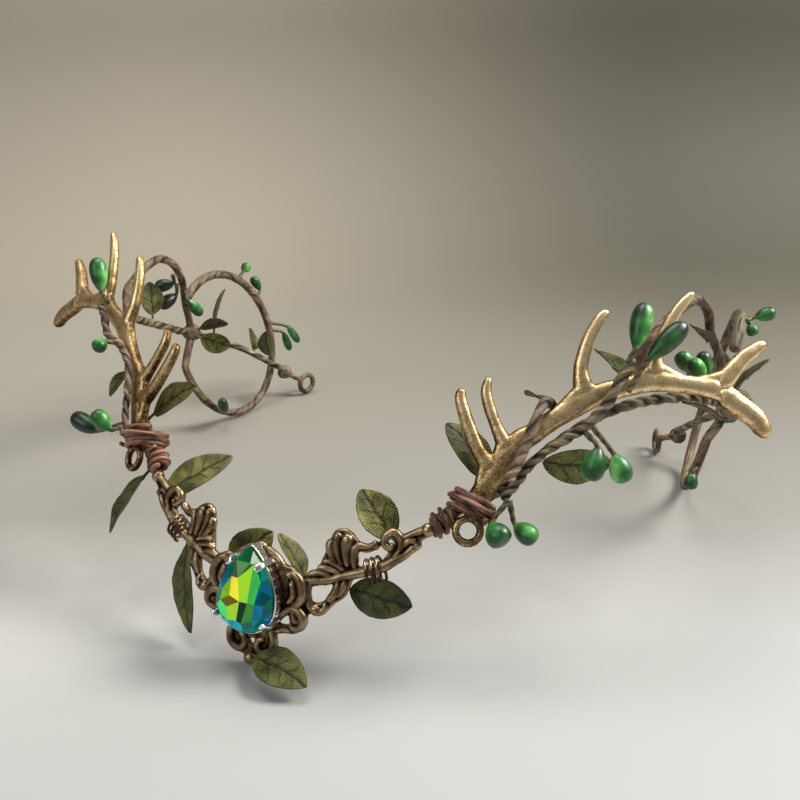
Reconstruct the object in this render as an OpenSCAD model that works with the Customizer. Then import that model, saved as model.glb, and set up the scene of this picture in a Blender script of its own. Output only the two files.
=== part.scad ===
// Fairy crown: an open circlet of antlers, vines, leaves and berries on a stamped filigree with a pear stone.
// Millimetres. +Z is up, -Y is the wearer's front, and +X is the wearer's left.
// Every place below is given from the tip of the filigree, on the surface that the crown lies on.

/* [Crown] */
// From the filigree's tip back to the middle of the crown's outer box
middle_back = 68.9; // [60:0.1:85]
// Clear gap kept between pieces that only touch on the real crown
gap = 0.3; // [0.2:0.05:0.4]
// Turn of the whole crown that lifts the filigree's tip onto the surface, in degrees
rest_turn = 0.75; // [0:0.05:1.5]

/* [Stone and setting] */
// Width of the pear stone
stone_w = 13; // [8:0.5:16]
// Height of the pear stone from its round end to its point
stone_h = 18; // [12:0.5:22]
// Height of the stone's crown above its girdle
stone_crown = 3; // [2:0.1:4]
// Depth of the stone below its girdle
stone_depth = 2.6; // [2:0.1:4]
// Lean of the stone away from upright, in degrees
stone_lean = 16; // [0:1:30]
// Depth of the claw setting's cup
cup_depth = 3.25; // [3:0.05:5]
// Wall of the claw setting's cup
cup_wall = 0.7; // [0.5:0.1:1.2]

/* [Filigree] */
// Thickness of the stamped plate
plate = 1.3; // [1:0.1:2]
// Yaw of the two arms round to the sides, in degrees
arm_yaw = 12; // [0:1:30]
// Lean of the two arms, in degrees
arm_lean = 24; // [0:1:35]

/* [Antlers] */
// Thickness of the cast antler
antler_t = 3; // [2:0.1:4]
// Yaw of the antlers round to the sides, in degrees
antler_yaw = 24.5; // [10:0.5:40]
// Lean of the antlers, in degrees
antler_lean = 27.5; // [10:0.5:40]

/* [Vines] */
// Radius of the main stem
vine_r = 1.8; // [1.2:0.1:2.4]
// Radius of the stem wound along the antler
branch_r = 1.6; // [1.2:0.1:2]
// Radius of the back loop's stem
loop_r = 1.7; // [1.2:0.1:2]
// Radius of the arch's stem
arch_r = 1.5; // [1:0.1:2]
// Radius of the strand that winds over the beam
winding_r = 1.1; // [0.8:0.1:1.3]
// Radius of the twig across the back loop
twig_r = 1.3; // [1:0.1:1.6]
// Radius of the main knot
knot_r = 2.8; // [2.4:0.1:3]
// Radius of the knot at the end of the twig
end_knot_r = 2.4; // [2:0.1:2.6]
// Radius of the wound turns that bind the pieces
binding_r = 0.85; // [0.7:0.05:1]
// Radius of the copper wire
wire_r = 0.4; // [0.3:0.05:0.5]
// Radius of the wire in the eyes at the back ends
eye_wire_r = 0.9; // [0.7:0.1:1.2]
// Middle radius of those eyes
eye_r = 3; // [2.5:0.1:4]

/* [Leaves and berries] */
// Thickness of the satin leaves
leaf_t = 1; // [1:0.1:1.5]
// How far a leaf's edges rise over its rib, as a share of its width
leaf_cup = 0.1; // [0:0.01:0.15]
// Radius of a leaf's stem
leaf_stem_r = 0.5; // [0.4:0.05:0.6]
// Radius of a berry's stem
berry_stem_r = 0.5; // [0.4:0.05:0.6]

/* [Hidden] */
sides = 8;
vine_sides = 7;
L = -1;
R = 1;

// Vectors and routes

function unit(v) = v / norm(v);

// A smooth curve through the points of a route, with n steps from each to the next
function curve(p, n) = [
  for (i = [0:len(p) - 2])
    let (a = p[max(i - 1, 0)], b = p[i], c = p[i + 1], d = p[min(i + 2, len(p) - 1)])
    for (k = [0:n - 1 + (i == len(p) - 2 ? 1 : 0)])
      let (t = k / n)
      0.5 * (2 * b + (c - a) * t + (2 * a - 5 * b + 4 * c - d) * t * t + (3 * b - a - 3 * c + d) * t * t * t)];

function heading(p, i) = unit(p[min(i + 1, len(p) - 1)] - p[max(i - 1, 0)]);
function square_to(v, t) = unit(v - (v * t) * t);
function first_side(t) = square_to(abs(t[2]) < 0.8 ? [0, 0, 1] : [1, 0, 0], t);
// A side direction for each ring of a sweep, carried along without twist
function carried(p) = [
  for (i = 0, s = first_side(heading(p, 0)); i < len(p);
       i = i + 1, s = i < len(p) ? square_to(s, heading(p, i)) : s) s];

// A closed sweep along p, with a ring of n points at each point of p
// wide and deep are the half sizes of each ring along its side and across it
module sweep(p, wide, deep, side, n = sides) {
  rings = [
    for (i = [0:len(p) - 1])
      let (t = heading(p, i), u = side[i], v = cross(t, u))
      for (k = [0:n - 1]) p[i] + wide[i] * cos(360 * k / n) * u + deep[i] * sin(360 * k / n) * v];
  skin(rings, len(p), n);
}

// A closed skin over rings of n points each
// clockwise says that the rings turn clockwise when seen from their far end
module skin(points, rings, n, clockwise = false) {
  walls = [
    for (i = [0:rings - 2], k = [0:n - 1])
      let (a = i * n + k, b = i * n + (k + 1) % n)
      each [[a, b + n, b], [a, a + n, b + n]]];
  ends = [[for (k = [0:n - 1]) k], [for (k = [n - 1:-1:0]) (rings - 1) * n + k]];
  faces = concat(walls, ends);
  polyhedron(points, clockwise ? [for (f = faces) [for (k = [len(f) - 1:-1:0]) f[k]]] : faces);
}

// A round tube with the radius r, or with a radius for each point in the list r
module tube(p, r, n = sides) {
  radii = is_list(r) ? r : [for (q = p) r];
  sweep(p, radii, radii, carried(p), n);
}

// Puts what is drawn flat, x across, y up and z towards the front, at a place with a yaw and a lean
module facing(place, yaw, lean) {
  translate(place) rotate([90 - lean, 0, yaw]) children();
}
// Moves the finished piece from the filigree's tip to the middle of the crown's box
rest_axis_back = 115;
module placed(side = R) {
  translate([0, rest_axis_back - middle_back, 0]) rotate([-rest_turn, 0, 0]) translate([0, -rest_axis_back, 0])
    if (side == R) children(); else mirror([1, 0, 0]) children();
}
// A place in the flat frame of a yaw and a lean, in the crown's own frame
function faced(p, place, yaw, lean) = place
  + p[0] * [cos(yaw), sin(yaw), 0]
  + p[1] * [-sin(lean) * sin(yaw), sin(lean) * cos(yaw), cos(lean)]
  + p[2] * [cos(lean) * sin(yaw), -cos(lean) * cos(yaw), sin(lean)];

// Stone and setting

stone_at = [0, 1.9, 16.4];
girdle = 0.3;
pear_turn = 0.7;
function pear_x(a) = sin(a) * pow(abs(sin(a / 2)), pear_turn);
pear_widest = max([for (a = [60:2:150]) pear_x(a)]);
// A pear outline of n points, from its point round clockwise
function pear(w, h, n, turn = 0) = [
  for (k = [0:n - 1])
    let (a = 360 * (k + turn) / n) [w / 2 * pear_x(a) / pear_widest, h / 2 * cos(a)]];

module gem() color("limegreen") placed() facing(stone_at, 0, stone_lean) {
  facets = 12;
  // Height, share of the outline and turn of each ring, from the foot of the stone to its table
  levels = [
    [-stone_depth, 0.1, 0],
    [-girdle, 1, 0],
    [0, 1, 0],
    [0.55 * stone_crown, 0.82, 0.5],
    [stone_crown, 0.5, 0]];
  rings = [for (v = levels) [for (p = pear(stone_w, stone_h, facets, v[2])) [v[1] * p[0], v[1] * p[1], v[0]]]];
  skin([for (r = rings) each r], len(levels), facets, true);
}

module gem_setting() color("silver") placed() facing(stone_at, 0, stone_lean) {
  proud = 0.4;
  rim = -girdle - gap;
  floor_t = 0.6;
  claw_r = 0.4;
  // Share of a turn from the stone's point for each claw
  claws = [0.14, 0.36, 0.64, 0.86];
  outline_n = 16;
  difference() {
    translate([0, 0, rim - cup_depth]) linear_extrude(cup_depth)
      polygon(pear(stone_w + 2 * proud, stone_h + 2 * proud, outline_n));
    translate([0, 0, rim - cup_depth + floor_t]) linear_extrude(cup_depth)
      polygon(pear(stone_w + 2 * (proud - cup_wall), stone_h + 2 * (proud - cup_wall), outline_n));
  }
  for (c = claws) {
    foot = pear(stone_w, stone_h, 1, c)[0];
    out = unit([foot[0] / stone_w, foot[1] / stone_h]);
    // Distance out from the stone's edge, height and width of the claw's foot, bend and tip
    steps = [[0.5, -2.9, 1.9], [0.65, 0.6, 1.7], [-0.7, 2.25, 1.3]];
    for (i = [0:1]) hull() for (s = [steps[i], steps[i + 1]])
      translate([foot[0] + s[0] * out[0], foot[1] + s[0] * out[1], s[1]])
        rotate([0, 0, atan2(out[1], out[0])]) rotate([90, 0, 0]) cylinder(r = claw_r, h = s[2], center = true, $fn = 6);
  }
}

// Filigree

// Half width of the raised ribs, and how deep their middles lie under the plate's face
relief_r = 0.6;
relief_sunk = 0.07;
plate_back = girdle + gap + cup_depth + 0.2 + plate;
arm_at = [13.7, 6.6, 12.3];
// How much lower the left arm sits
left_arm_drop = 1.5;
// The ball at the tip: its place on the centre's middle line and its radius
tip_ball = [0, -15.75, 1.5];
// Height of the balls' middles over the plate's back
ball_lift = 0.78;
// Radius of a rib's first point, as a share of the rest
rib_start = 0.75;

// Each row of the centre's right half, drawn through its points: x, y and half width
centre_plate = [
  [[0, -14.6, 1.2], [2.6, -12.6, 2.2], [3.4, -9, 2], [0, -9.5, 2]],
  [[3.4, -9, 1.6], [6.6, -7.6, 0.8], [9.2, -7.4, 0.9], [11.2, -5.6, 0.9], [10.8, -3.6, 0.9], [9, -2.8, 1.1]],
  [[9, -2.8, 1.1], [10, 0.8, 1.1], [8.2, 3.8, 1.3], [6, 4.6, 1]],
  [[4.4, -5, 1.2], [6.4, -3.2, 1], [9, -2.8, 1]],
  [[0, -8, 3], [4, -5, 2.6], [5.6, 0, 2.4], [3.6, 5, 2.2], [0, 7.6, 1.6]],
  [[0, -8, 3], [0, 7.6, 1.6]]];
centre_scrolls = [
  [[4.4, -9.4], [4.7, -12], [3.8, -14], [1.9, -14], [1.1, -12.4], [2.2, -11.4]],
  [[7.8, -2.7], [9.4, -2.9], [11.3, -4.4], [10.9, -6.3], [9.4, -6.6]],
  [[9.6, -2.7], [10.4, 0.8], [9.6, 3.2], [8, 4.4], [7, 3.2]]];
centre_balls = [[3, -12.6, 0.9], [9.9, -5.3, 1.1]];

// Rows of one arm: x, y and half width
arm_plate = [
  [[4, 14.6, 2.5], [3.2, 11.6, 2.6], [2.2, 8.6, 2.6], [1, 6.6, 1.4]],
  [[4, 14.6, 2.2], [5.8, 11.4, 1.7], [6, 8.8, 1.5]],
  [[-4.4, 5.4, 1.1], [1, 6.6, 1.3], [6, 8.2, 1.3], [9, 9, 1.1], [12.7, 10.5, 1.1], [14.4, 12.8, 1.1],
   [16.8, 15, 1.2], [20.9, 18.4, 1.1]],
  [[-2.2, 5.6, 0.8], [-2.7, 3, 0.8], [-1.6, 0.8, 1.1], [0.8, 0.8, 1.1], [2.6, 2.4, 1], [3.6, 4.8, 1], [4.2, 7, 1.2]],
  [[2.6, 2.4, 0.9], [4.8, 4, 0.8], [5.4, 7, 1.2]],
  [[-2.7, 3, 0.8], [-4.6, 1.6, 1], [-4.6, -2.4, 1], [-1.6, 0.6, 0.9]],
  [[14.4, 12.8, 0.8], [15.5, 14.6, 0.8], [15, 16.6, 0.8], [13.1, 16.9, 0.8], [12.3, 15.2, 0.8], [13.4, 14.2, 0.8]],
  [[5.6, 15.2, 1], [7.3, 13.8, 0.8], [8.9, 13.4, 0.8], [10.7, 14.3, 0.8]],
  [[15.8, 14, 0.9], [17.6, 14, 0.8], [19, 15.2, 0.9]]];
arm_scrolls = [
  [[5.9, 15], [5.4, 16.6], [3.8, 17], [1.9, 15.6], [0.8, 13.2], [0.9, 11]],
  [[2.8, 14.2], [3.7, 11.4], [4.4, 8.8], [6, 8.2]],
  [[0.1, 10.2], [2, 9.9], [3.7, 8.8]],
  [[-0.7, 8.7], [1.2, 8.4], [2.8, 7.4]],
  [[-3.6, 5.9], [-1, 5.9], [2.4, 6.6], [8.7, 8.9], [12.7, 10.4], [14.4, 12.8], [15.5, 14.6], [15, 16.6],
   [13.1, 16.9], [12.3, 15.2], [13.6, 14.4]],
  [[2.2, 5.6], [3, 4], [2.2, 2.1], [0.8, 0.9], [-1.5, 0.9], [-2.7, 3], [-2.3, 5]],
  [[6, 14.8], [7.3, 13.7], [8.9, 13.4], [10.7, 14.3]],
  [[15, 13.6], [17.4, 15.6], [20.9, 18.4]]];
arm_balls = [[-0.4, 0.3, 1.4], [20.9, 18.4, 1.6], [10.7, 14.3, 1], [19, 15.2, 1], [3.9, 15.6, 1.2], [-4.6, -2.2, 1.1]];

module strips(rows) {
  for (row = rows, i = [0:len(row) - 2])
    hull() for (p = [row[i], row[i + 1]]) translate([p[0], p[1]]) circle(r = p[2], $fn = 6);
}
module relief(scrolls, balls) {
  for (s = scrolls)
    tube([for (p = s) [p[0], p[1], plate - relief_sunk]], [for (i = [0:len(s) - 1]) i == 0 ? rib_start * relief_r : relief_r], 4);
  for (b = balls) ball(b, b[2]);
}
module ball(place, r) {
  translate([place[0], place[1], ball_lift]) rotate([0, 0, 30]) sphere(r = r, $fn = 6);
}
module arm(drop) {
  facing(arm_at - [0, 0, drop], arm_yaw, arm_lean) translate([0, 0, -plate / 2]) {
    linear_extrude(plate) strips(arm_plate);
    relief(arm_scrolls, arm_balls);
  }
}
module filigree() color("darkgoldenrod") placed() {
  facing(stone_at, 0, stone_lean) translate([0, 0, -plate_back]) {
    linear_extrude(plate) {
      strips(centre_plate);
      mirror([1, 0, 0]) strips(centre_plate);
    }
    relief(centre_scrolls, centre_balls);
    mirror([1, 0, 0]) relief(centre_scrolls, centre_balls);
    ball(tip_ball, tip_ball[2]);
  }
  arm(0);
  mirror([1, 0, 0]) arm(left_arm_drop);
}

// Antlers

ring_at = [40.3, 19.7, 30];
ring_r = 2.4;
ring_wire_r = 0.8;
// Along the beam and up from the ring's middle, with the half width there
beam = [
  [0.3, 2.6, 1.9], [2, 6, 2.2], [4.6, 9.8, 2.3], [7.6, 14.1, 2.6], [10.4, 17.2, 2.4], [13, 18.8, 2.1],
  [16.6, 21.3, 1.95], [21.8, 24.5, 2.3], [26.4, 26.6, 2.1], [32.3, 28.2, 2], [37.3, 29.2, 2.3],
  [44.2, 28.3, 1.9], [50.5, 27.4, 2.5]];
tines = [
  [[5, 11.6, 2], [2.2, 15.7, 1.5], [0.3, 20.6, 1.35], [-1.1, 25.5, 1.2], [-0.7, 27.9, 0.8]],
  [[8.2, 15.5, 2], [6.1, 19.6, 1.3], [4.4, 24.5, 1.15], [3.9, 27.5, 1.05], [4.6, 30, 0.7]],
  [[23.4, 26, 2.4], [22.7, 30.4, 1.6], [23, 33.4, 1.4], [24.7, 38.2, 1.25], [26.8, 41.6, 1.1], [28.4, 43.3, 0.7]],
  [[37.4, 29.5, 2.2], [37.7, 34.3, 1.5], [40.3, 40.3, 1.2], [43, 44.2, 1.1], [45.6, 46.9, 0.7]],
  [[50, 27.8, 2.2], [54.3, 32.9, 1.65], [56.8, 34.9, 1.45], [59.5, 36.7, 1]],
  [[50, 27, 2.4], [54, 23.9, 2.2], [56.8, 21.7, 2.1], [58.3, 19.2, 1.7], [58.6, 17.6, 1]]];
// For each tine, the beam's points before and after its root
roots = [[1, 3], [2, 4], [6, 8], [9, 11], [11, 12], [11, 12]];

// Half thickness of the casting where its half width is w
function antler_deep(w) = min(antler_t / 2, 0.35 + 0.65 * w);
module tine(row) {
  p = [for (q = row) [q[0], q[1], 0]];
  sweep(p, [for (q = row) q[2]], [for (q = row) antler_deep(q[2])],
        [for (i = [0:len(p) - 1]) cross([0, 0, 1], heading(p, i))]);
}
module bump(q, r) {
  translate([q[0], q[1], 0]) scale([1, 1, antler_deep(r) / r]) sphere(r = r, $fn = 6);
}
module antler() {
  web_r = 1.2;
  facing(ring_at, antler_yaw, antler_lean) {
    tine(beam);
    for (i = [0:len(tines) - 1]) {
      tine(tines[i]);
      for (b = roots[i]) hull() {
        bump(beam[b], web_r);
        bump((tines[i][0] + tines[i][1]) / 2, web_r);
      }
    }
    rotate_extrude($fn = 14) translate([ring_r, 0]) circle(r = ring_wire_r, $fn = 6);
  }
}
module antler_left() color("peru") placed(L) antler();
module antler_right() color("peru") placed() antler();

// Vines: each route goes by hand-chosen points x, y and z, given for the wearer's left side

knot_at = [80.8, 97.5, 32];
vine_route = [
  [33.7, 20.2, 29.5], [37.9, 24.4, 32.2], [43.4, 28.7, 34.7], [47.5, 32.8, 39.3], [52.8, 38, 44], [59.3, 43.5, 48.3],
  [66, 48, 50.6], [73, 52.5, 51.2], [78.5, 61, 48.5], [81, 72, 43.5], [81.5, 84, 38], [81.1, 92, 34]];
branch_route_right = [
  [45.4, 24.7, 35.4], [47.6, 26.5, 38.6], [49.4, 28.6, 41.7], [52.1, 31.5, 44.5], [57, 35.3, 47.8],
  [60.1, 36.7, 51.3], [61.8, 38.9, 53.9], [63.1, 41.4, 57.3], [64.8, 44.2, 60.8]];
branch_route_left = [
  [42.6, 20.3, 36.5], [44, 23.1, 40.4], [45.4, 26.2, 44.7], [47.5, 29.4, 48.7], [52.6, 33.2, 51.3],
  [58.9, 36.5, 52], [62.9, 40.3, 55.5], [65.4, 42.4, 57.2]];
arch_route_right = [
  [61.8, 48.4, 53], [63.8, 50.4, 57], [66, 53.8, 61.6], [68.5, 60, 65], [71.4, 70, 66.6], [72.9, 77, 65], [74.3, 84, 60.5],
  [75, 88.5, 54.5], [77, 92, 49], [78.6, 94, 43], [79.6, 95.9, 38.5]];
arch_route_left = [
  [62, 47.8, 52.6], [66, 53, 57.5], [70, 61, 58.8], [73, 70, 60], [73.8, 77, 60.6], [75, 84, 57.5],
  [77, 89.5, 52.5], [79.3, 93.5, 47.5], [80.9, 95.8, 42], [80.9, 96.6, 38]];
winding_route = [
  [46.8, 23.3, 40.3], [48.2, 28, 45], [48.9, 30.5, 48.6], [49.6, 33.8, 52], [50.1, 37, 52.5], [51, 39.6, 49.6]];
twig_route = [[79, 105, 28], [76, 113, 23.5], [73, 119.5, 19], [69.6, 125.5, 14], [68.2, 128.8, 11.5]];
end_knot_at = [68.4, 131.6, 9];
eye_at = [62.1, 136, eye_r + eye_wire_r + gap];
eye_yaw = 19;
// How much further in the right twig ends, to pass its taller loop
right_end_in = 1.8;

// Each back loop is an ellipse: its middle, and its half sizes along and up
loop_left_shape = [[77, 111.5, 22.65 + loop_r], [-3, 20.5, 0], [4.8, 0, 22.7]];
loop_right_shape = [[75.7, 112, 26.35 + loop_r], [-1.8, 20.5, 0], [4.5, -6, 26.3]];
// It starts beside the arch and runs over the top, round the back and under to the knot
loop_from = 128;
loop_to = -176;
loop_steps = 22;
function loop_point(shape, a) = shape[0] + cos(a) * shape[1] + sin(a) * shape[2];
function loop_route(shape) = [
  for (i = [0:loop_steps]) loop_point(shape, loop_from + (loop_to - loop_from) * i / loop_steps)];

// The point on a stem's way to a knot that is clear of the knot by the gap
function up_to_knot(p, at, r) = at + (r + gap) * unit(p - at);
function last(p) = p[len(p) - 1];
function thick(n, r) = [for (i = [1:n]) r];
// Places along a knot, as a share of its radius, and the radius there
knot_steps = [[-0.8, 0.6], [-0.4, 1], [0.4, 1], [0.8, 0.6]];
function knot_line(at, r, along) = [for (s = knot_steps) at + s[0] * r * along];
function knot_radii(r) = [for (s = knot_steps) s[1] * r];

vine_line = curve(vine_route, 2);
// The main stem is thinner where the binding covers its start
vine_radii = concat([1.2, 1.25, 1.3, 1.35, 1.5, 1.65], thick(len(vine_line) - 6, vine_r));
vine_end = unit(knot_at - last(vine_route));
branch_line_left = curve(branch_route_left, 2);
branch_line_right = curve(branch_route_right, 2);
function arch_line(route) = curve(concat(route, [up_to_knot(last(route), knot_at, knot_r)]), 2);
function loop_line(shape) =
  let (route = loop_route(shape)) concat(route, [up_to_knot(last(route), knot_at, knot_r)]);
// The twig's route, moved in little by little to its end
function twig_in(in) = [
  for (i = [0:len(twig_route) - 1]) twig_route[i] - [in * (i + 1) / len(twig_route), 0, 0]];
function twig_line(in) =
  let (route = twig_in(in)) curve(concat([up_to_knot(route[0], knot_at, knot_r)], route), 2);
winding_line = curve(winding_route, 2);

module vine() {
  tube(concat(vine_line, knot_line(knot_at, knot_r, vine_end)), concat(vine_radii, knot_radii(knot_r)), vine_sides);
}
module vine_left() color("saddlebrown") placed(L) vine();
module vine_right() color("saddlebrown") placed() vine();

module branch_left() color("sienna") placed(L) tube(branch_line_left, branch_r, vine_sides);
module branch_right() color("sienna") placed() tube(branch_line_right, branch_r, vine_sides);

module arch_left() color("rosybrown") placed(L) tube(arch_line(arch_route_left), arch_r, vine_sides);
module arch_right() color("rosybrown") placed() tube(arch_line(arch_route_right), arch_r, vine_sides);

module winding_right() color("rosybrown") placed() tube(winding_line, winding_r, vine_sides);

module loop_left() color("tan") placed(L) tube(loop_line(loop_left_shape), loop_r, vine_sides);
module loop_right() color("tan") placed() tube(loop_line(loop_right_shape), loop_r, vine_sides);

module cross_twig(in) {
  body = twig_line(in);
  at = end_knot_at - [in, 0, 0];
  along = unit(at - last(body));
  tube(concat(body, knot_line(at, end_knot_r, along)), concat(thick(len(body), twig_r), knot_radii(end_knot_r)), vine_sides);
}
module cross_twig_left() color("olivedrab") placed(L) cross_twig(0);
module cross_twig_right() color("olivedrab") placed() cross_twig(right_end_in);

// A straight round rod from a to b
module rod(a, b, r) {
  d = b - a;
  translate(a) rotate([0, acos(d[2] / norm(d)), atan2(d[1], d[0])]) cylinder(h = norm(d), r = r, $fn = 24);
}
module eye(in) {
  at = eye_at - [in, 0, 0];
  knot = end_knot_at - [in, 0, 0];
  flat = [cos(eye_yaw), sin(eye_yaw), 0];
  wire_at = at + eye_r * square_to(knot - at, flat);
  rod(up_to_knot(wire_at, knot, end_knot_r), wire_at, eye_wire_r);
  translate(at) rotate([0, 90, eye_yaw]) rotate_extrude($fn = 36) translate([eye_r, 0]) circle(r = eye_wire_r, $fn = 24);
}
module eye_left() color("saddlebrown") placed(L) eye(0);
module eye_right() color("saddlebrown") placed() eye(right_end_in);

// Bindings and copper wire

// A helix round at: u and v are its half sizes as vectors, and along is the way of one turn
coil_steps = 8;
function helix(at, u, v, along, turns) = [
  for (i = [0:ceil(turns * coil_steps)])
    let (t = i / coil_steps) at + cos(360 * t) * u + sin(360 * t) * v + (t - turns / 2) * along];

wrap_middle = 1.1;
wrap_turns = 1.5;
wrap_radius = vine_radii[1] + gap + binding_r;
wrap_way = unit(vine_route[1] - vine_route[0]);
wrap_line = [vine_route[0], vine_route[1]];
// The turns round the foot of the antler and the stem behind it, in the antler's flat frame
foot_middle = [0.8, 4.6, -2];
foot_turns = 1.3;
foot_half = 4.4;
foot_deep = 5.1;
foot_heading = atan2(2, 1);
function in_antler(p) = faced(p, [0, 0, 0], antler_yaw, antler_lean);

module binding() {
  turn_pitch = 2 * binding_r + 0.2;
  u = square_to([0, 0, 1], wrap_way);
  v = cross(wrap_way, u);
  tube(helix(vine_route[0] + wrap_middle * wrap_way, wrap_radius * u, wrap_radius * v, turn_pitch * wrap_way,
             wrap_turns), binding_r, 6);
  tube(helix(ring_at + in_antler(foot_middle),
             foot_deep * in_antler([0, 0, -1]),
             foot_half * in_antler([sin(foot_heading), -cos(foot_heading), 0]),
             turn_pitch * in_antler([cos(foot_heading), sin(foot_heading), 0]), foot_turns), binding_r, 6);
}
module binding_left() color("rosybrown") placed(L) binding();
module binding_right() color("rosybrown") placed() binding();

// The copper wire is wound round the arm between two places of the arm's flat frame
wire_from = [9.3, 8.9];
wire_to = [12.6, 10.2];
wire_turns = 3;
wire_half = 2.35;
wire_deep = 2;
module wire(drop) {
  middle = (wire_from + wire_to) / 2;
  way = unit(wire_to - wire_from);
  pitch = norm(wire_to - wire_from) / wire_turns;
  lift = 0.3;
  facing(arm_at - [0, 0, drop], arm_yaw, arm_lean)
    tube(helix([middle[0], middle[1], lift], wire_half * [way[1], -way[0], 0], [0, 0, wire_deep],
               pitch * [way[0], way[1], 0], wire_turns), wire_r, 5);
}
module wire_left() color("chocolate") placed(L) wire(left_arm_drop);
module wire_right() color("chocolate") placed() wire(0);

// Leaves and berries

function flipped(line) = [for (p = line) [-p[0], p[1], p[2]]];
knot_spot = [knot_at, knot_at + vine_end];
// What leaves and berries grow from: name, line and radius
carriers = [
  ["vine_left", flipped(vine_line), vine_r],
  ["vine_right", vine_line, vine_r],
  ["wrap_left", flipped(wrap_line), wrap_radius + binding_r / 2],
  ["branch_left", flipped(branch_line_left), branch_r],
  ["branch_right", branch_line_right, branch_r],
  ["winding_right", winding_line, winding_r],
  ["arch_left", flipped(arch_line(arch_route_left)), arch_r],
  ["arch_right", arch_line(arch_route_right), arch_r],
  ["loop_left", flipped(loop_line(loop_left_shape)), loop_r],
  ["loop_right", loop_line(loop_right_shape), loop_r],
  ["twig_left", flipped(twig_line(0)), twig_r],
  ["knot_left", flipped(knot_spot), knot_r],
  ["knot_right", knot_spot, knot_r]];

// Where a stem of radius r that goes to a place starts, clear of its carrier by the gap
// near is a point by the carrier, and with no carrier it is the start itself
function seat(carrier, near, to, r) =
  carrier == "" ? near :
  let (row = [for (c = carriers) if (c[0] == carrier) c][0],
       line = row[1],
       on = [for (i = [0:len(line) - 2])
         let (a = line[i], b = line[i + 1], t = (near - a) * (b - a) / ((b - a) * (b - a)))
         a + max(0, min(1, t)) * (b - a)],
       away = [for (q = on) norm(near - q)],
       i = [for (k = [0:len(on) - 1]) if (away[k] == min(away)) k][0],
       out = square_to(to - on[i], unit(line[i + 1] - line[i])),
       slant = norm(cross(unit(to - on[i]), out)))
  on[i] + (row[2] + gap + r * slant) * out;

// Share along a leaf and share of its half width
leaf_shape = [[0, 0], [0.14, 0], [0.27, 0.62], [0.45, 0.96], [0.66, 0.92], [0.86, 0.5], [1, 0]];
leaf_bend = 0.06;
// The ring round a leaf's section: side, and upper or lower face
leaf_ring = [[-1, 1], [0, 1], [1, 1], [1, -1], [0, -1], [-1, -1]];

module leaf(row) {
  tip = row[3];
  width = row[4];
  roll = row[5];
  base = seat(row[1], row[2], tip, leaf_stem_r);
  d = unit(tip - base);
  flat = unit(cross(d, [0, 0, 1]));
  over = cross(flat, d);
  s = cos(roll) * flat + sin(roll) * over;
  n = cross(s, d);
  rings = [
    for (step = leaf_shape, k = leaf_ring)
      let (half = max(leaf_stem_r, step[1] * width / 2),
           rise = abs(k[0]) * leaf_cup * width * pow(2 * half / width, 2) + leaf_bend * norm(tip - base) * sin(180 * step[0]))
      base + step[0] * (tip - base) + k[0] * half * s + (rise + k[1] * leaf_t / 2) * n];
  skin(rings, len(leaf_shape), len(leaf_ring));
}

// Share along a berry from its neck and share of its radius
berry_shape = [[0.1, 0.62], [0.36, 1], [0.7, 0.94], [1, 0.3]];
berry_sides = 10;

module berry(carrier, row) {
  neck = row[1];
  end = row[2];
  r = row[3];
  base = seat(carrier, row[0], neck, berry_stem_r);
  tube(concat([base, neck], [for (s = berry_shape) neck + s[0] * (end - neck)]),
       concat([berry_stem_r, berry_stem_r], [for (s = berry_shape) s[1] * r]), berry_sides);
}

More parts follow.
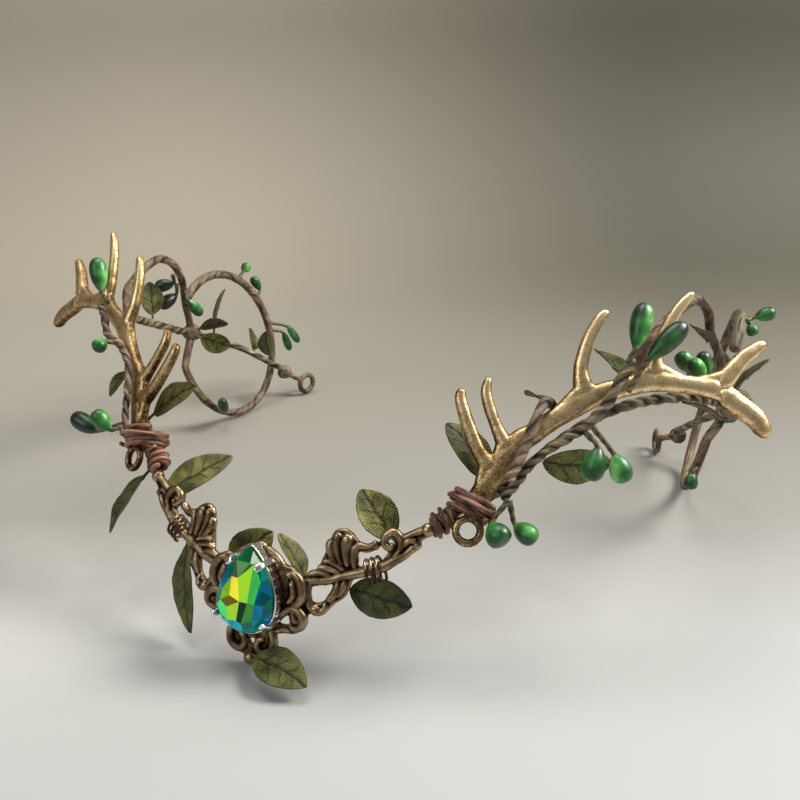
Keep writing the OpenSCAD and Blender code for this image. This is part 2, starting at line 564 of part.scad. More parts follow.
// Leaves: name, carrier, place by the carrier, tip, width and roll
leaves = [
  ["leaf_left_1", "", [-27.2, 18, 26], [-18.5, 26.8, 31.6], 8, -25],
  ["leaf_left_2", "", [-22.6, 14.3, 16.6], [-15, 2, 1.5], 7, -50],
  ["leaf_left_3", "wrap_left", [-35.5, 19, 28], [-41.5, 10, 15.5], 7, -10],
  ["leaf_left_4", "vine_left", [-43.4, 28.7, 34.7], [-31.5, 33, 44.2], 8, -30],
  ["leaf_left_5", "vine_left", [-53, 38, 44], [-57.5, 33, 37.5], 6, 0],
  ["leaf_left_6", "vine_left", [-80, 80, 40], [-83.5, 83, 51.5], 7, -20],
  ["leaf_left_7", "knot_left", [-80, 97, 35], [-71, 103.5, 34.5], 7, 45],
  ["leaf_left_8", "twig_left", [-78.5, 106, 28.5], [-77, 111.5, 43], 7, 35],
  ["leaf_left_9", "knot_left", [-79, 96, 31], [-71, 104, 26.5], 7, 80],
  ["leaf_left_10", "twig_left", [-73.5, 120, 19], [-78.5, 127.5, 25], 6, -60],
  ["leaf_left_11", "twig_left", [-71, 124.5, 16], [-69.5, 122.5, 26.5], 6, -50],
  ["leaf_gem_left", "", [-9, 9.6, 16], [0, 13, 23.8], 8, -70],
  ["leaf_gem_right", "", [9, 9.6, 16.6], [1.2, 13.5, 23.4], 6, -25],
  ["leaf_tip", "", [1.6, 0.6, 2], [16, -3, 1.8], 8, -25],
  ["leaf_right_1", "", [25.5, 17.9, 25], [16.9, 20, 33.8], 8, 30],
  ["leaf_right_2", "", [17.2, 12.5, 15], [31, 14.1, 13.5], 8, -60],
  ["leaf_right_3", "vine_right", [43.2, 28.8, 35], [31.2, 31.1, 46.7], 8, 15],
  ["leaf_right_4", "winding_right", [51, 38.5, 51], [44, 42.5, 51], 6, -25],
  ["leaf_right_5", "vine_right", [50.5, 35.5, 41], [62.8, 42, 39], 8, 85],
  ["leaf_right_6", "branch_right", [63.5, 43, 57.5], [55.5, 54.5, 58], 6, -20],
  ["leaf_right_7", "vine_right", [73.6, 52.6, 50], [82, 51.8, 48], 6, 20],
  ["leaf_right_8", "vine_right", [80.5, 64, 48], [88, 66, 46], 7, -30],
  ["leaf_right_9", "vine_right", [81.2, 71, 44], [88.5, 73, 55], 6, 10],
  ["leaf_right_10", "arch_right", [75, 88.5, 54.5], [71.8, 80, 58.1], 6, 10],
  ["leaf_right_11", "knot_right", [79, 99.5, 35], [76.4, 103, 46.4], 6, 30]];

// Berries: name, carrier and, for each berry, the place by the carrier, neck, far end and radius
berries = [
  ["berries_foot_left", "branch_left", [
    [[-43, 19.5, 37], [-45.2, 18.4, 36.6], [-49, 18.2, 40.6], 2],
    [[-43.5, 23, 36], [-53, 22.5, 33.2], [-60.4, 23.2, 35.6], 2.2]]],
  ["berries_upper_left", "branch_left", [
    [[-65, 42.4, 56.6], [-67, 44.8, 60], [-69.9, 48, 67.4], 2.2],
    [[-54, 33.5, 51.5], [-54.8, 30.8, 52.4], [-54.8, 27.4, 52], 1.75]]],
  ["berries_back_left", "arch_left", [
    [[-77, 89.5, 52.5], [-80, 90, 49.8], [-85.2, 87.6, 48.6], 1.9],
    [[-78.5, 92, 49.5], [-81, 92, 45.6], [-83.6, 86.6, 42.8], 2],
    [[-79.5, 94, 46.5], [-77, 92.2, 44.2], [-76, 96.8, 38.6], 1.7]]],
  ["berries_loop_left", "loop_left", [
    [[-79.2, 123.3, 43], [-79, 125.6, 45.4], [-78.4, 128.2, 47.4], 1.6],
    [[-76.8, 129.3, 35.8], [-77, 132.4, 37.8], [-78, 129.6, 42.6], 1.6]]],
  ["berries_fan_left", "loop_left", [
    [[-73.8, 132, 23], [-71, 136.4, 22], [-70.2, 139, 14.6], 1.4],
    [[-74.2, 132, 25.5], [-70.6, 138.8, 23.6], [-68.8, 143, 16.6], 1.4]]],
  ["berries_low_left", "loop_left", [
    [[-75.8, 102, 4.5], [-71.8, 99.8, 5], [-70.6, 96.2, 11.2], 1.6]]],
  ["berries_foot_right", "branch_right", [
    [[45, 24, 35], [44.6, 20.2, 32.2], [48.2, 18, 29.8], 2.5],
    [[45.6, 25.4, 35], [48.4, 24, 30.8], [53.2, 22, 29.8], 2.1]]],
  ["berries_hanging_right", "branch_right", [
    [[57.5, 35.6, 48.4], [61.2, 35, 45.2], [60.4, 32.4, 39.1], 2.35],
    [[58.6, 36.1, 49.6], [64.1, 36.2, 43.8], [66.8, 35.2, 38.7], 2.2]]],
  ["berries_big_right", "branch_right", [
    [[64.6, 43.8, 60.2], [65, 42.8, 63.6], [65.1, 48.6, 71], 2.1],
    [[63, 41.2, 57], [67.4, 44.4, 61.2], [72.8, 51, 67.2], 2.1]]],
  ["berries_arch_right", "vine_right", [
    [[75.5, 56, 50], [74, 59, 54.6], [71.4, 59.8, 58.4], 1.8],
    [[76.5, 58, 49.5], [77, 57.6, 54], [74.2, 56, 58.2], 1.8],
    [[78, 60, 49], [77.4, 63.6, 52.6], [75.4, 64.4, 57.6], 1.6]]],
  ["berries_top_right", "loop_right", [
    [[80.3, 104, 54], [83.6, 105.2, 54.9], [88, 107, 56.2], 1.75],
    [[80.2, 107.4, 54.2], [82.6, 107.6, 52.4], [84, 106.8, 49.6], 1.5]]],
  ["berries_low_right", "loop_right", [
    [[75.5, 95.5, 18], [75, 92.4, 16.2], [74.6, 91.5, 12], 1.8]]]];

PAIRED = ["antler", "vine", "branch", "arch", "loop", "cross_twig", "eye", "binding", "wire"];

gem();
gem_setting();
filigree();
winding_right();
antler_left();
antler_right();
vine_left();
vine_right();
branch_left();
branch_right();
arch_left();
arch_right();
loop_left();
loop_right();
cross_twig_left();
cross_twig_right();
eye_left();
eye_right();
binding_left();
binding_right();
wire_left();
wire_right();
for (row = leaves)
  color("olive") placed() leaf(row);
for (row = berries)
  color("forestgreen") placed() for (b = row[2]) berry(row[1], b);
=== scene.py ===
import math

import bmesh
import bpy
import numpy as np
from mathutils import Matrix, Vector
from mathutils.geometry import delaunay_2d_cdt


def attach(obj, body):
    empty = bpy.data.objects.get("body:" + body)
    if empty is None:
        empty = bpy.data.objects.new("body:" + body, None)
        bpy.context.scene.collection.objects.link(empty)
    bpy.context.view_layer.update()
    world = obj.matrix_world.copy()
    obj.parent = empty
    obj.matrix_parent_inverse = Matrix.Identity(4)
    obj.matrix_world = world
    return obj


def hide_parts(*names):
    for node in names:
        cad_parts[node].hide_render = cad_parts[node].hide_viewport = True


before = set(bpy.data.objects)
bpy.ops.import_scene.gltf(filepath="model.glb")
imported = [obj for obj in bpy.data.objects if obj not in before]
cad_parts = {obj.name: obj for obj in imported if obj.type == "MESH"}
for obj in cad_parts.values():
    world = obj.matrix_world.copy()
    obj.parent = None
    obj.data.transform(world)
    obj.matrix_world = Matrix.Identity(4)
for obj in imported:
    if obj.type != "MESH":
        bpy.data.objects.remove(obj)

# Fairy crown: every length in this script is in millimetres until put() turns it into metres.
# Places are given from the tip of the filigree, and placed() moves them into the CAD frame.
MM = 0.001
MIDDLE_BACK = 68.9
REST_AXIS_BACK = 115
REST_TURN = math.radians(0.75)
GAP = 0.3
LEFT, RIGHT = -1, 1
SIDE_NAME = {LEFT: "_left", RIGHT: "_right"}
UP = np.array([0, 0, 1.0])
ACROSS = np.array([1.0, 0, 0])


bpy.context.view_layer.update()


# Vectors, curves and noise

def unit(v):
    return v / np.linalg.norm(v)


def turned(angle, u, v):
    """Offsets of a turn round the half sizes u and v, for a column of angles."""
    return np.cos(angle) * u + np.sin(angle) * v


def spots(x, y=0.0, z=0.0):
    """Points with those coordinates, each a number or an array."""
    return np.stack(np.broadcast_arrays(x, y, z), -1)


def placed(p, side):
    """Points moved into the CAD frame, on the right or mirrored to the left."""
    back, up = p[..., 1] - REST_AXIS_BACK, p[..., 2]
    turned_back = back * math.cos(REST_TURN) + up * math.sin(REST_TURN)
    turned_up = up * math.cos(REST_TURN) - back * math.sin(REST_TURN)
    return spots(side * p[..., 0], turned_back + REST_AXIS_BACK - MIDDLE_BACK, turned_up)


def faced(p, place, yaw, lean):
    """Points drawn flat, x across, y up and z to the front, put at a place with a yaw and a lean."""
    a, b = math.radians(yaw), math.radians(lean)
    across = [math.cos(a), math.sin(a), 0]
    up = [-math.sin(b) * math.sin(a), math.sin(b) * math.cos(a), math.cos(b)]
    front = [math.cos(b) * math.sin(a), -math.cos(b) * math.cos(a), math.sin(b)]
    return np.array(place) + np.array(p, float) @ np.array([across, up, front])


def curve(points, n):
    """A smooth curve through rows of numbers, with n steps from each to the next."""
    p = np.array(points, float)
    starts = np.arange(len(p) - 1)
    a, b, c, d = [p[np.clip(starts + k, 0, len(p) - 1)][:, None] for k in (-1, 0, 1, 2)]
    t = (np.arange(n) / n)[:, None]
    rows = 2 * b + (c - a) * t + (2 * a - 5 * b + 4 * c - d) * t ** 2 + (3 * b - a - 3 * c + d) * t ** 3
    return np.concatenate([0.5 * rows.reshape(-1, p.shape[1]), p[-1:]])


def evenly(line, step):
    """The same line of rows again, at even steps along its first three columns, and the steps."""
    along = np.concatenate([[0], np.cumsum(np.linalg.norm(np.diff(line[:, :3], axis=0), axis=1))])
    at = np.linspace(0, along[-1], max(3, int(round(along[-1] / step)) + 1))
    return np.stack([np.interp(at, along, column) for column in line.T], -1), at


def lattice(cell, seed):
    """A number from 0 to 1 for each cell, the same each time."""
    n = cell[..., 0] * 73856093 ^ cell[..., 1] * 19349663 ^ cell[..., 2] * 83492791 ^ (seed * 2654435761)
    n = (n ^ (n >> 13)) * 1274126177
    return ((n ^ (n >> 16)) & 0xFFFF) / 65535.0


def noise(p, size, seed):
    """Smooth noise from -1 to 1 at points p, with features of that size."""
    p = np.array(p, float) / size
    cell = np.floor(p).astype(np.int64)
    f = p - cell
    f = f * f * (3 - 2 * f)
    total = 0
    for corner in range(8):
        offset = np.array([corner & 1, corner >> 1 & 1, corner >> 2 & 1])
        weight = np.prod(np.where(offset, f, 1 - f), axis=-1)
        total = total + weight * lattice(cell + offset, seed)
    return 2 * total - 1


def step_up(value, low, high):
    t = np.clip((value - low) / (high - low), 0, 1)
    return t * t * (3 - 2 * t)


# Meshes

def frames(line, side=None):
    """Heading, side and over for each point of a line, carried along without twist."""
    ahead = np.gradient(line, axis=0)
    ahead /= np.linalg.norm(ahead, axis=1)[:, None]
    if side is None:
        side = UP if abs(ahead[0][2]) < 0.8 else ACROSS
    sides = []
    for t in ahead:
        side = unit(side - (side @ t) * t)
        sides.append(side)
    sides = np.array(sides)
    return sides, np.cross(ahead, sides)


def grid_faces(rows, n):
    """Faces of a closed tube of rows of n points, with a face on each end."""
    faces = []
    for i in range(rows - 1):
        for k in range(n):
            a, b = i * n + k, i * n + (k + 1) % n
            faces.append((a, b, b + n, a + n))
    faces.append(tuple(reversed(range(n))))
    faces.append(tuple((rows - 1) * n + k for k in range(n)))
    return faces


class Form:
    """Vertices, faces and named values per vertex that are gathered into one mesh.

    What is added to one form gives the same names of values each time.
    """

    def __init__(self):
        self.points, self.faces, self.values, self.count = [], [], {}, 0

    def add(self, points, faces, **values):
        points = np.array(points, float).reshape(-1, 3)
        for name, value in values.items():
            self.values.setdefault(name, []).append(np.broadcast_to(np.ravel(value), len(points)))
        self.points.append(points)
        self.faces += [tuple(i + self.count for i in face) for face in faces]
        self.count += len(points)

    def mesh(self, name):
        mesh = bpy.data.meshes.new(name)
        mesh.from_pydata(np.concatenate(self.points).tolist(), [], self.faces)
        for key, chunks in self.values.items():
            write_value(mesh, key, np.concatenate(chunks))
        mesh.update()
        return mesh


def write_value(mesh, name, value):
    attribute = mesh.attributes.new(name, "FLOAT", "POINT")
    attribute.data.foreach_set("value", np.asarray(value, np.float32))


def per_ring(size, rows, n):
    size = np.array(size, float)
    return np.broadcast_to(size if size.ndim == 0 else size.reshape(rows, -1), (rows, n))


def sweep(form, line, wide, deep=None, n=16, side=None, power=2.0, **values):
    """A closed sweep along a line, with half sizes as numbers, for each point or for each ring point."""
    sides, over = frames(line, side)
    angle = 2 * np.pi * np.arange(n) / n
    wide = per_ring(wide, len(line), n)
    deep = wide if deep is None else per_ring(deep, len(line), n)
    c, s = [np.sign(v) * np.abs(v) ** (2 / power) for v in (np.cos(angle), np.sin(angle))]
    points = line[:, None] + (wide * c)[..., None] * sides[:, None] + (deep * s)[..., None] * over[:, None]
    form.add(points, grid_faces(len(line), n), **values)


def ball(form, place, r, **values):
    ring = np.linspace(0, np.pi, 9)
    line = np.array(place) - UP * r * np.cos(ring)[:, None]
    sweep(form, line, np.maximum(r * np.sin(ring), 0.02), side=ACROSS, **values)


def round_end(at):
    """Share of the full radius near a round end, for the distances at from it in radii."""
    return np.sqrt(np.clip(1 - (1 - np.clip(at, 0, 1)) ** 2, 0.0, 1))


def round_ends(at, reach, start=0.0):
    """Share of the full radius along a line with two round ends that reach so far."""
    return round_end(at / reach + start) * round_end((at[-1] - at) / reach + start)


def stroke(row, n, step):
    """A stroke of x, y and half width drawn flat: its line, half widths, places and side."""
    line, at = evenly(curve(row, n), step)
    flat = spots(line[:, 0], line[:, 1])
    return flat, line[:, 2], at, np.cross(UP, unit(flat[1] - flat[0]))


def read(items, key, columns=3, kind=np.float32):
    """One property of each item of a mesh, as rows."""
    values = np.empty(len(items) * columns, kind)
    items.foreach_get(key, values)
    return values.reshape(-1, columns)


def coordinates(mesh):
    return read(mesh.vertices, "co").astype(float)


def added(name, data):
    """A new object in the scene."""
    piece = bpy.data.objects.new(name, data)
    bpy.context.scene.collection.objects.link(piece)
    return piece


def put(mesh, name, node, material, side=RIGHT, points=None, smooth=True):
    """Shows a mesh, with its own points or others, as the piece name, which stands for that CAD node."""
    points = placed(coordinates(mesh) if points is None else points, side)
    if side == LEFT:
        mesh.flip_normals()
    mesh.vertices.foreach_set("co", (points * MM).astype(np.float32).ravel())
    mesh.update()
    if smooth:
        mesh.shade_smooth()
    mesh.materials.append(material)
    piece = added(name, mesh)
    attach(piece, "root")
    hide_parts(node)


def remeshed(mesh, voxel, smoothing):
    """The union of the shells in a mesh as one even skin, smoothed."""
    piece = added("shell", mesh)
    remesh = piece.modifiers.new("remesh", "REMESH")
    remesh.mode = "VOXEL"
    remesh.voxel_size = voxel
    smooth = piece.modifiers.new("smooth", "SMOOTH")
    smooth.factor = 0.5
    smooth.iterations = smoothing
    bpy.context.view_layer.update()
    graph = bpy.context.evaluated_depsgraph_get()
    result = bpy.data.meshes.new_from_object(piece.evaluated_get(graph))
    bpy.data.objects.remove(piece)
    return result


def vertex_data(mesh):
    """Points and normals of a mesh, and the ends of its edges."""
    normals = read(mesh.vertex_normals, "vector").astype(float)
    return coordinates(mesh), normals, read(mesh.edges, "vertices", 2, np.int32)


def ridges(points, normals, edges, rounds):
    """How far each vertex stands proud of the smoothed surface, in the mesh's own units."""
    n = len(points)
    degree = np.bincount(edges.ravel(), minlength=n)[:, None]
    smooth = points
    for _ in range(rounds):
        total = np.stack([np.bincount(edges[:, 0], smooth[edges[:, 1], k], n)
                          + np.bincount(edges[:, 1], smooth[edges[:, 0], k], n) for k in range(3)], -1)
        smooth = 0.5 * smooth + 0.5 * total / degree
    return np.sum((points - smooth) * normals, axis=1)


# Materials

def feed(tree, socket, source):
    """Gives a socket a level, a colour or a number."""
    if isinstance(source, Level):
        tree.links.new(source.socket, socket)
    else:
        socket.default_value = (*source, 1) if hasattr(source, "__len__") else source


def add_node(tree, kind, output, inputs, **settings):
    """Adds a node with those inputs and settings, and gives the level of its output."""
    node = tree.nodes.new("ShaderNode" + kind)
    for name, value in settings.items():
        setattr(node, name, value)
    for name, source in inputs.items():
        feed(tree, node.inputs[name], source)
    return Level(tree, node.outputs[output])


class Level:
    """A value or colour in a material's node tree. Sums with it add the nodes for them."""

    def __init__(self, tree, socket):
        self.tree, self.socket = tree, socket

    def worked(self, how, other=0.0):
        return add_node(self.tree, "Math", "Value", {0: self, 1: other}, operation=how)

    def __add__(self, other):
        return self.worked("ADD", other)

    def __sub__(self, other):
        return self.worked("SUBTRACT", other)

    def __mul__(self, other):
        return self.worked("MULTIPLY", other)

    def clamped(self):
        self.socket.node.use_clamp = True
        return self


class Nodes:
    """A material's node tree with short ways to add nodes to it."""

    def __init__(self, name):
        self.material = bpy.data.materials.new(name)
        self.material.use_nodes = True
        self.tree = self.material.node_tree

    def set(self, **sockets):
        shader = self.tree.nodes["Principled BSDF"]
        for name, source in sockets.items():
            feed(self.tree, shader.inputs[name.replace("_", " ")], source)

    def value(self, name, output="Fac"):
        return add_node(self.tree, "Attribute", output, {}, attribute_name=name)

    def place(self):
        return add_node(self.tree, "TexCoord", "Object", {})

    def noise(self, size_mm, detail, rough):
        inputs = {"Scale": 1 / (size_mm * MM), "Detail": detail, "Roughness": rough, "Vector": self.place()}
        return add_node(self.tree, "TexNoise", "Fac", inputs)

    def ramp(self, source, stops, smooth=False):
        level = add_node(self.tree, "ValToRGB", "Color", {"Fac": source})
        ramp = level.socket.node.color_ramp
        ramp.interpolation = "EASE" if smooth else "LINEAR"
        while len(ramp.elements) < len(stops):
            ramp.elements.new(0.5)
        for element, (at, colour) in zip(ramp.elements, stops):
            element.position = at
            element.color = (*colour, 1) if hasattr(colour, "__len__") else (colour, colour, colour, 1)
        return level

    def mix(self, share, a, b):
        return add_node(self.tree, "Mix", "Result", {"Factor": share, "A": a, "B": b}, data_type="RGBA")

    def bump(self, height, depth_mm):
        inputs = {"Strength": 1.0, "Distance": depth_mm * MM, "Height": height}
        self.set(Normal=add_node(self.tree, "Bump", "Normal", inputs))


def metal(name, dark, middle, light, speckle, rough_low, rough_high, cloudy=0.6, pit_mm=0.03):
    """Aged metal: painted shade in hollows and painted highlight on ridges, as the mesh's value gives them,
    with flecks and fine pits.
    """
    m = Nodes(name)
    flecks, clouds = m.noise(0.35, 6, 0.7), m.noise(3.0, 3, 0.5)
    # The mesh's value holds the painted shade and painted highlight, with some tone
    level = m.value("relief") + (flecks - 0.5) * speckle
    level = (level + (clouds - 0.5) * cloudy).clamped()
    m.set(Metallic=1.0, Base_Color=m.ramp(level, [(0.08, dark), (0.42, middle), (0.82, light)]))
    m.set(Roughness=m.ramp(level, [(0.0, rough_high), (0.8, rough_low)]))
    m.bump(m.noise(0.21, 5, 0.7), pit_mm)
    return m.material


def tape(name, brown, mauve, olive, pale):
    """Floral tape: matt, creased, with painted shade in the creases and painted highlight on the ridges, as
    the mesh's value gives them, and the tint of each stretch given by the mesh.
    """
    m = Nodes(name)
    fibres, patch = m.noise(0.45, 6, 0.7), m.noise(3.2, 4, 0.6)
    body = m.mix(m.ramp(patch, [(0.4, 0.0), (0.6, 1.0)]), brown, mauve)
    body = m.mix(m.value("tint"), body, olive)
    level = (m.value("crease") + (fibres - 0.5) * 0.45).clamped()
    # Painted shade: near black where the mesh's value is low, in the creases
    shaded = m.mix(m.ramp(level, [(0.12, 1.0), (0.45, 0.0)]), body, (0.012, 0.008, 0.005))
    # Painted highlight: the pale colour where the mesh's value is high, on ridges and folds
    colour = m.mix(m.ramp(level, [(0.55, 0.0), (0.95, 0.75)]), shaded, pale)
    m.set(Roughness=0.58, Specular_IOR_Level=0.4, Base_Color=colour)
    m.bump(fibres, 0.1)
    return m.material


def leaf_satin():
    """Satin with a fine slanting weave under a painted gold sheen in patches, dark in the pressed veins."""
    m = Nodes("leaf_satin")
    across, along, tone = m.value("across"), m.value("along"), m.value("tone")
    twill_mm, weft_mm = 0.5, 0.42
    twill = ((across + along * 0.55) * (2 * math.pi / twill_mm)).worked("SINE")
    weft = ((along - across * 0.3) * (2 * math.pi / weft_mm)).worked("SINE")
    weave = (twill + weft * 0.7) * 0.35
    clouds, grain = m.noise(4.5, 3, 0.5), m.noise(0.4, 4, 0.7)
    green = m.mix(m.ramp(clouds, [(0.38, 0.0), (0.64, 1.0)]), (0.028, 0.032, 0.007), (0.075, 0.08, 0.016))
    # Painted sheen: gold where the weave and clouds catch the light, scaled by each leaf's value
    shine = weave * 1.2 + (clouds - 0.38) * 2.4 + (grain - 0.5) * 2.6
    shine = m.ramp(shine, [(0.05, 0.0), (0.9, 1.0)]) * (tone * 0.9 + 0.12)
    gold = m.mix(shine, green, (0.42, 0.4, 0.1))
    dull = m.mix(m.value("under"), gold, (0.056, 0.056, 0.026))
    colour = m.mix(m.value("vein") * 0.9, dull, (0.01, 0.011, 0.004))
    m.set(Specular_IOR_Level=0.3, Base_Color=colour, Roughness=m.ramp(clouds, [(0.3, 0.36), (0.7, 0.55)]))
    m.bump(weave + clouds * 2.5, 0.06)
    return m.material


def berry_lacquer():
    """Lacquered green beads, from nearly black to light green, on olive stalks."""
    m = Nodes("berry_lacquer")
    tone, stalk, clouds = m.value("tone"), m.value("stalk"), m.noise(2.6, 3, 0.5)
    # The mesh's value holds each bead's tone with its painted light and shade
    level = (tone + (clouds - 0.5) * 0.9).clamped()
    green = m.ramp(level, [
        (0.05, (0.002, 0.006, 0.003)), (0.35, (0.004, 0.03, 0.007)), (0.62, (0.014, 0.13, 0.018)),
        (0.85, (0.055, 0.27, 0.045)), (1.0, (0.2, 0.5, 0.13))])
    bark = m.ramp(tone, [(0.2, (0.035, 0.03, 0.014)), (0.8, (0.16, 0.14, 0.07))])
    m.set(Roughness=0.42, Specular_IOR_Level=0.35, Base_Color=m.mix(stalk, green, bark))
    m.set(Coat_Roughness=0.27, Coat_Weight=(stalk * -1.0 + 0.4).clamped())
    m.bump(m.noise(0.7, 4, 0.6), 0.035)
    return m.material


# Colours of the painted shade in hollows, of the faces and of the painted highlight on ridges, then
# speckle, the two ends of roughness and clouds
bronze = metal("antique_bronze", (0.06, 0.03, 0.011), (0.43, 0.28, 0.125), (1.0, 0.75, 0.41),
               1.5, 0.34, 0.58, 0.7)
brass = metal("dark_brass", (0.009, 0.006, 0.004), (0.17, 0.11, 0.058), (0.45, 0.33, 0.19),
              0.8, 0.28, 0.5, 0.9)
silver = metal("silver", (0.12, 0.12, 0.125), (0.6, 0.61, 0.63), (0.94, 0.95, 0.97),
               0.15, 0.16, 0.34, pit_mm=0.008)
copper = metal("copper_wire", (0.02, 0.01, 0.005), (0.12, 0.062, 0.036), (0.55, 0.37, 0.24),
               0.5, 0.24, 0.42, pit_mm=0.01)
# Brown, mauve and olive of each tape, then the pale colour of its painted highlight
vine_tape = tape("vine_tape", (0.125, 0.066, 0.04), (0.19, 0.112, 0.074), (0.14, 0.13, 0.056),
                 (0.5, 0.4, 0.26))
binding_tape = tape("binding_tape", (0.2, 0.072, 0.042), (0.31, 0.145, 0.094), (0.19, 0.13, 0.068),
                    (0.62, 0.42, 0.29))
satin = leaf_satin()
lacquer = berry_lacquer()


# Camera, floor and light

def camera():
    data = bpy.data.cameras.new("camera")
    data.lens = 40.5
    data.sensor_width = 36
    piece = added("camera", data)
    bpy.context.scene.camera = piece
    right = unit(np.array([0.9143, 0.4051, -0.0053]))
    ahead = unit(np.array([-0.3756, 0.8427, -0.3857]))
    up = np.cross(right, ahead)
    turn = Matrix([[right[k], up[k], -ahead[k]] for k in range(3)]).to_4x4()
    place = Vector((90, -123.4 - MIDDLE_BACK, 122.1)) * MM
    piece.matrix_world = Matrix.Translation(place) @ turn


def studio():
    """A pale floor that curves up into a wall, with painted light and shade: both darker to the back and
    the right, in metres.
    """
    back, bend, half, front, high, below = 0.2, 0.12, 6.0, -6.0, 6.0, 0.0001
    turns = np.linspace(0, math.pi / 2, 13)
    curved = [(back + bend * math.sin(a), bend * (1 - math.cos(a))) for a in turns]
    rows = [(front, 0.0), *curved, (back + bend, high)]
    form = Form()
    form.add([(x, y, z - below) for y, z in rows for x in (-half, half)],
             [(2 * i, 2 * i + 1, 2 * i + 3, 2 * i + 2) for i in range(len(rows) - 1)])
    mesh = form.mesh("floor")
    mesh.shade_smooth()
    m = Nodes("floor_paint")
    x, y = [add_node(m.tree, "SeparateXYZ", name, {0: m.place()}) for name in "XY"]
    shade_front, shade_depth = -0.1, 0.4
    deep = ((y - shade_front) * (1 / shade_depth)).clamped()
    # Painted light and shade: lightest at the front, darker to the back and much darker on the right
    left = m.ramp(deep, [
        (0.0, (0.405, 0.406, 0.396)), (0.12, (0.49, 0.488, 0.462)), (0.25, (0.285, 0.275, 0.245)),
        (0.5, (0.3, 0.285, 0.243)), (0.85, (0.33, 0.297, 0.237))])
    right = m.ramp(deep, [
        (0.0, (0.41, 0.415, 0.405)), (0.12, (0.365, 0.367, 0.36)), (0.25, (0.25, 0.245, 0.225)),
        (0.5, (0.16, 0.148, 0.122)), (0.85, (0.078, 0.074, 0.057))])
    share = m.ramp((x * 3.2 + 0.5).clamped(), [(0.0, 0.0), (1.0, 1.0)], smooth=True)
    m.set(Roughness=0.6, Specular_IOR_Level=0.15, Base_Color=m.mix(share, left, right))
    mesh.materials.append(m.material)
    floor = added("floor", mesh)
    floor.rotation_euler = (0, 0, math.radians(24))


def lamp(name, place, size, power, colour):
    """A soft lamp, aimed at the middle of the crown."""
    data = bpy.data.lights.new(name, "AREA")
    data.shape = "RECTANGLE"
    data.size, data.size_y = size
    data.energy = power
    data.color = colour
    piece = added(name, data)
    piece.location = place
    piece.rotation_euler = (Vector((0, 0, 0.03)) - Vector(place)).to_track_quat("-Z", "Y").to_euler()


def lights():
    world = bpy.data.worlds.new("studio")
    world.use_nodes = True
    feed(world.node_tree, world.node_tree.nodes["Background"].inputs["Color"], (0.82, 0.84, 0.88))
    feed(world.node_tree, world.node_tree.nodes["Background"].inputs["Strength"], 0.2)
    bpy.context.scene.world = world
    lamp("key", (0.46, 0.26, 0.5), (0.3, 0.3), 8.5, (1.0, 0.98, 0.94))
    lamp("fill", (-0.35, -0.7, 0.6), (0.6, 0.5), 2.6, (0.96, 0.98, 1.0))
    lamp("top", (-0.1, 0.1, 0.7), (0.4, 0.3), 2.6, (1.0, 0.98, 0.95))


camera()
studio()
lights()
bpy.context.scene.view_settings.view_transform = "Standard"


# Antlers

ANTLER_AT, ANTLER_YAW, ANTLER_LEAN = (40.3, 19.7, 30), 24.5, 27.5
ANTLER_HALF = 1.5
RING_R, RING_WIRE_R = 2.4, 0.8
# Along the beam and up from the ring's middle, with the half width there
BEAM = [
    (0.3, 2.6, 1.9), (2, 6, 2.2), (4.6, 9.8, 2.3), (7.6, 14.1, 2.6), (10.4, 17.2, 2.4), (13, 18.8, 2.1),
    (16.6, 21.3, 1.95), (21.8, 24.5, 2.3), (26.4, 26.6, 2.1), (32.3, 28.2, 2), (37.3, 29.2, 2.3),
    (44.2, 28.3, 1.9), (50.5, 27.4, 2.5)]
TINES = [
    [(5, 11.6, 2), (2.2, 15.7, 1.5), (0.3, 20.6, 1.35), (-1.1, 25.5, 1.2), (-0.7, 27.9, 0.8)],
    [(8.2, 15.5, 2), (6.1, 19.6, 1.3), (4.4, 24.5, 1.15), (3.9, 27.5, 1.05), (4.6, 30, 0.7)],
    [(23.4, 26, 2.4), (22.7, 30.4, 1.6), (23, 33.4, 1.4), (24.7, 38.2, 1.25), (26.8, 41.6, 1.1),
     (28.4, 43.3, 0.7)],
    [(37.4, 29.5, 2.2), (37.7, 34.3, 1.5), (40.3, 40.3, 1.2), (43, 44.2, 1.1), (45.6, 46.9, 0.7)],
    [(50, 27.8, 2.2), (54.3, 32.9, 1.65), (56.8, 34.9, 1.45), (59.5, 36.7, 1)],
    [(50, 27, 2.4), (54, 23.9, 2.2), (56.8, 21.7, 2.1), (58.3, 19.2, 1.7), (58.6, 17.6, 1)]]
# For each tine, the beam's points before and after its root
ROOTS = [(1, 3), (2, 4), (6, 8), (9, 11), (11, 12), (11, 12)]


def tine(form, rows):
    """A limb with domed faces and a round end."""
    thinnest = 0.05
    flat, wide, at, side = stroke(rows, n=8, step=0.25)
    end = round_ends(at, wide)
    deep = np.minimum(ANTLER_HALF, 0.35 + 0.65 * wide) * end ** 0.6
    wide, deep = np.maximum(wide * end, thinnest), np.maximum(deep, thinnest)
    sweep(form, flat, wide, deep, n=20, side=side, power=2.25)


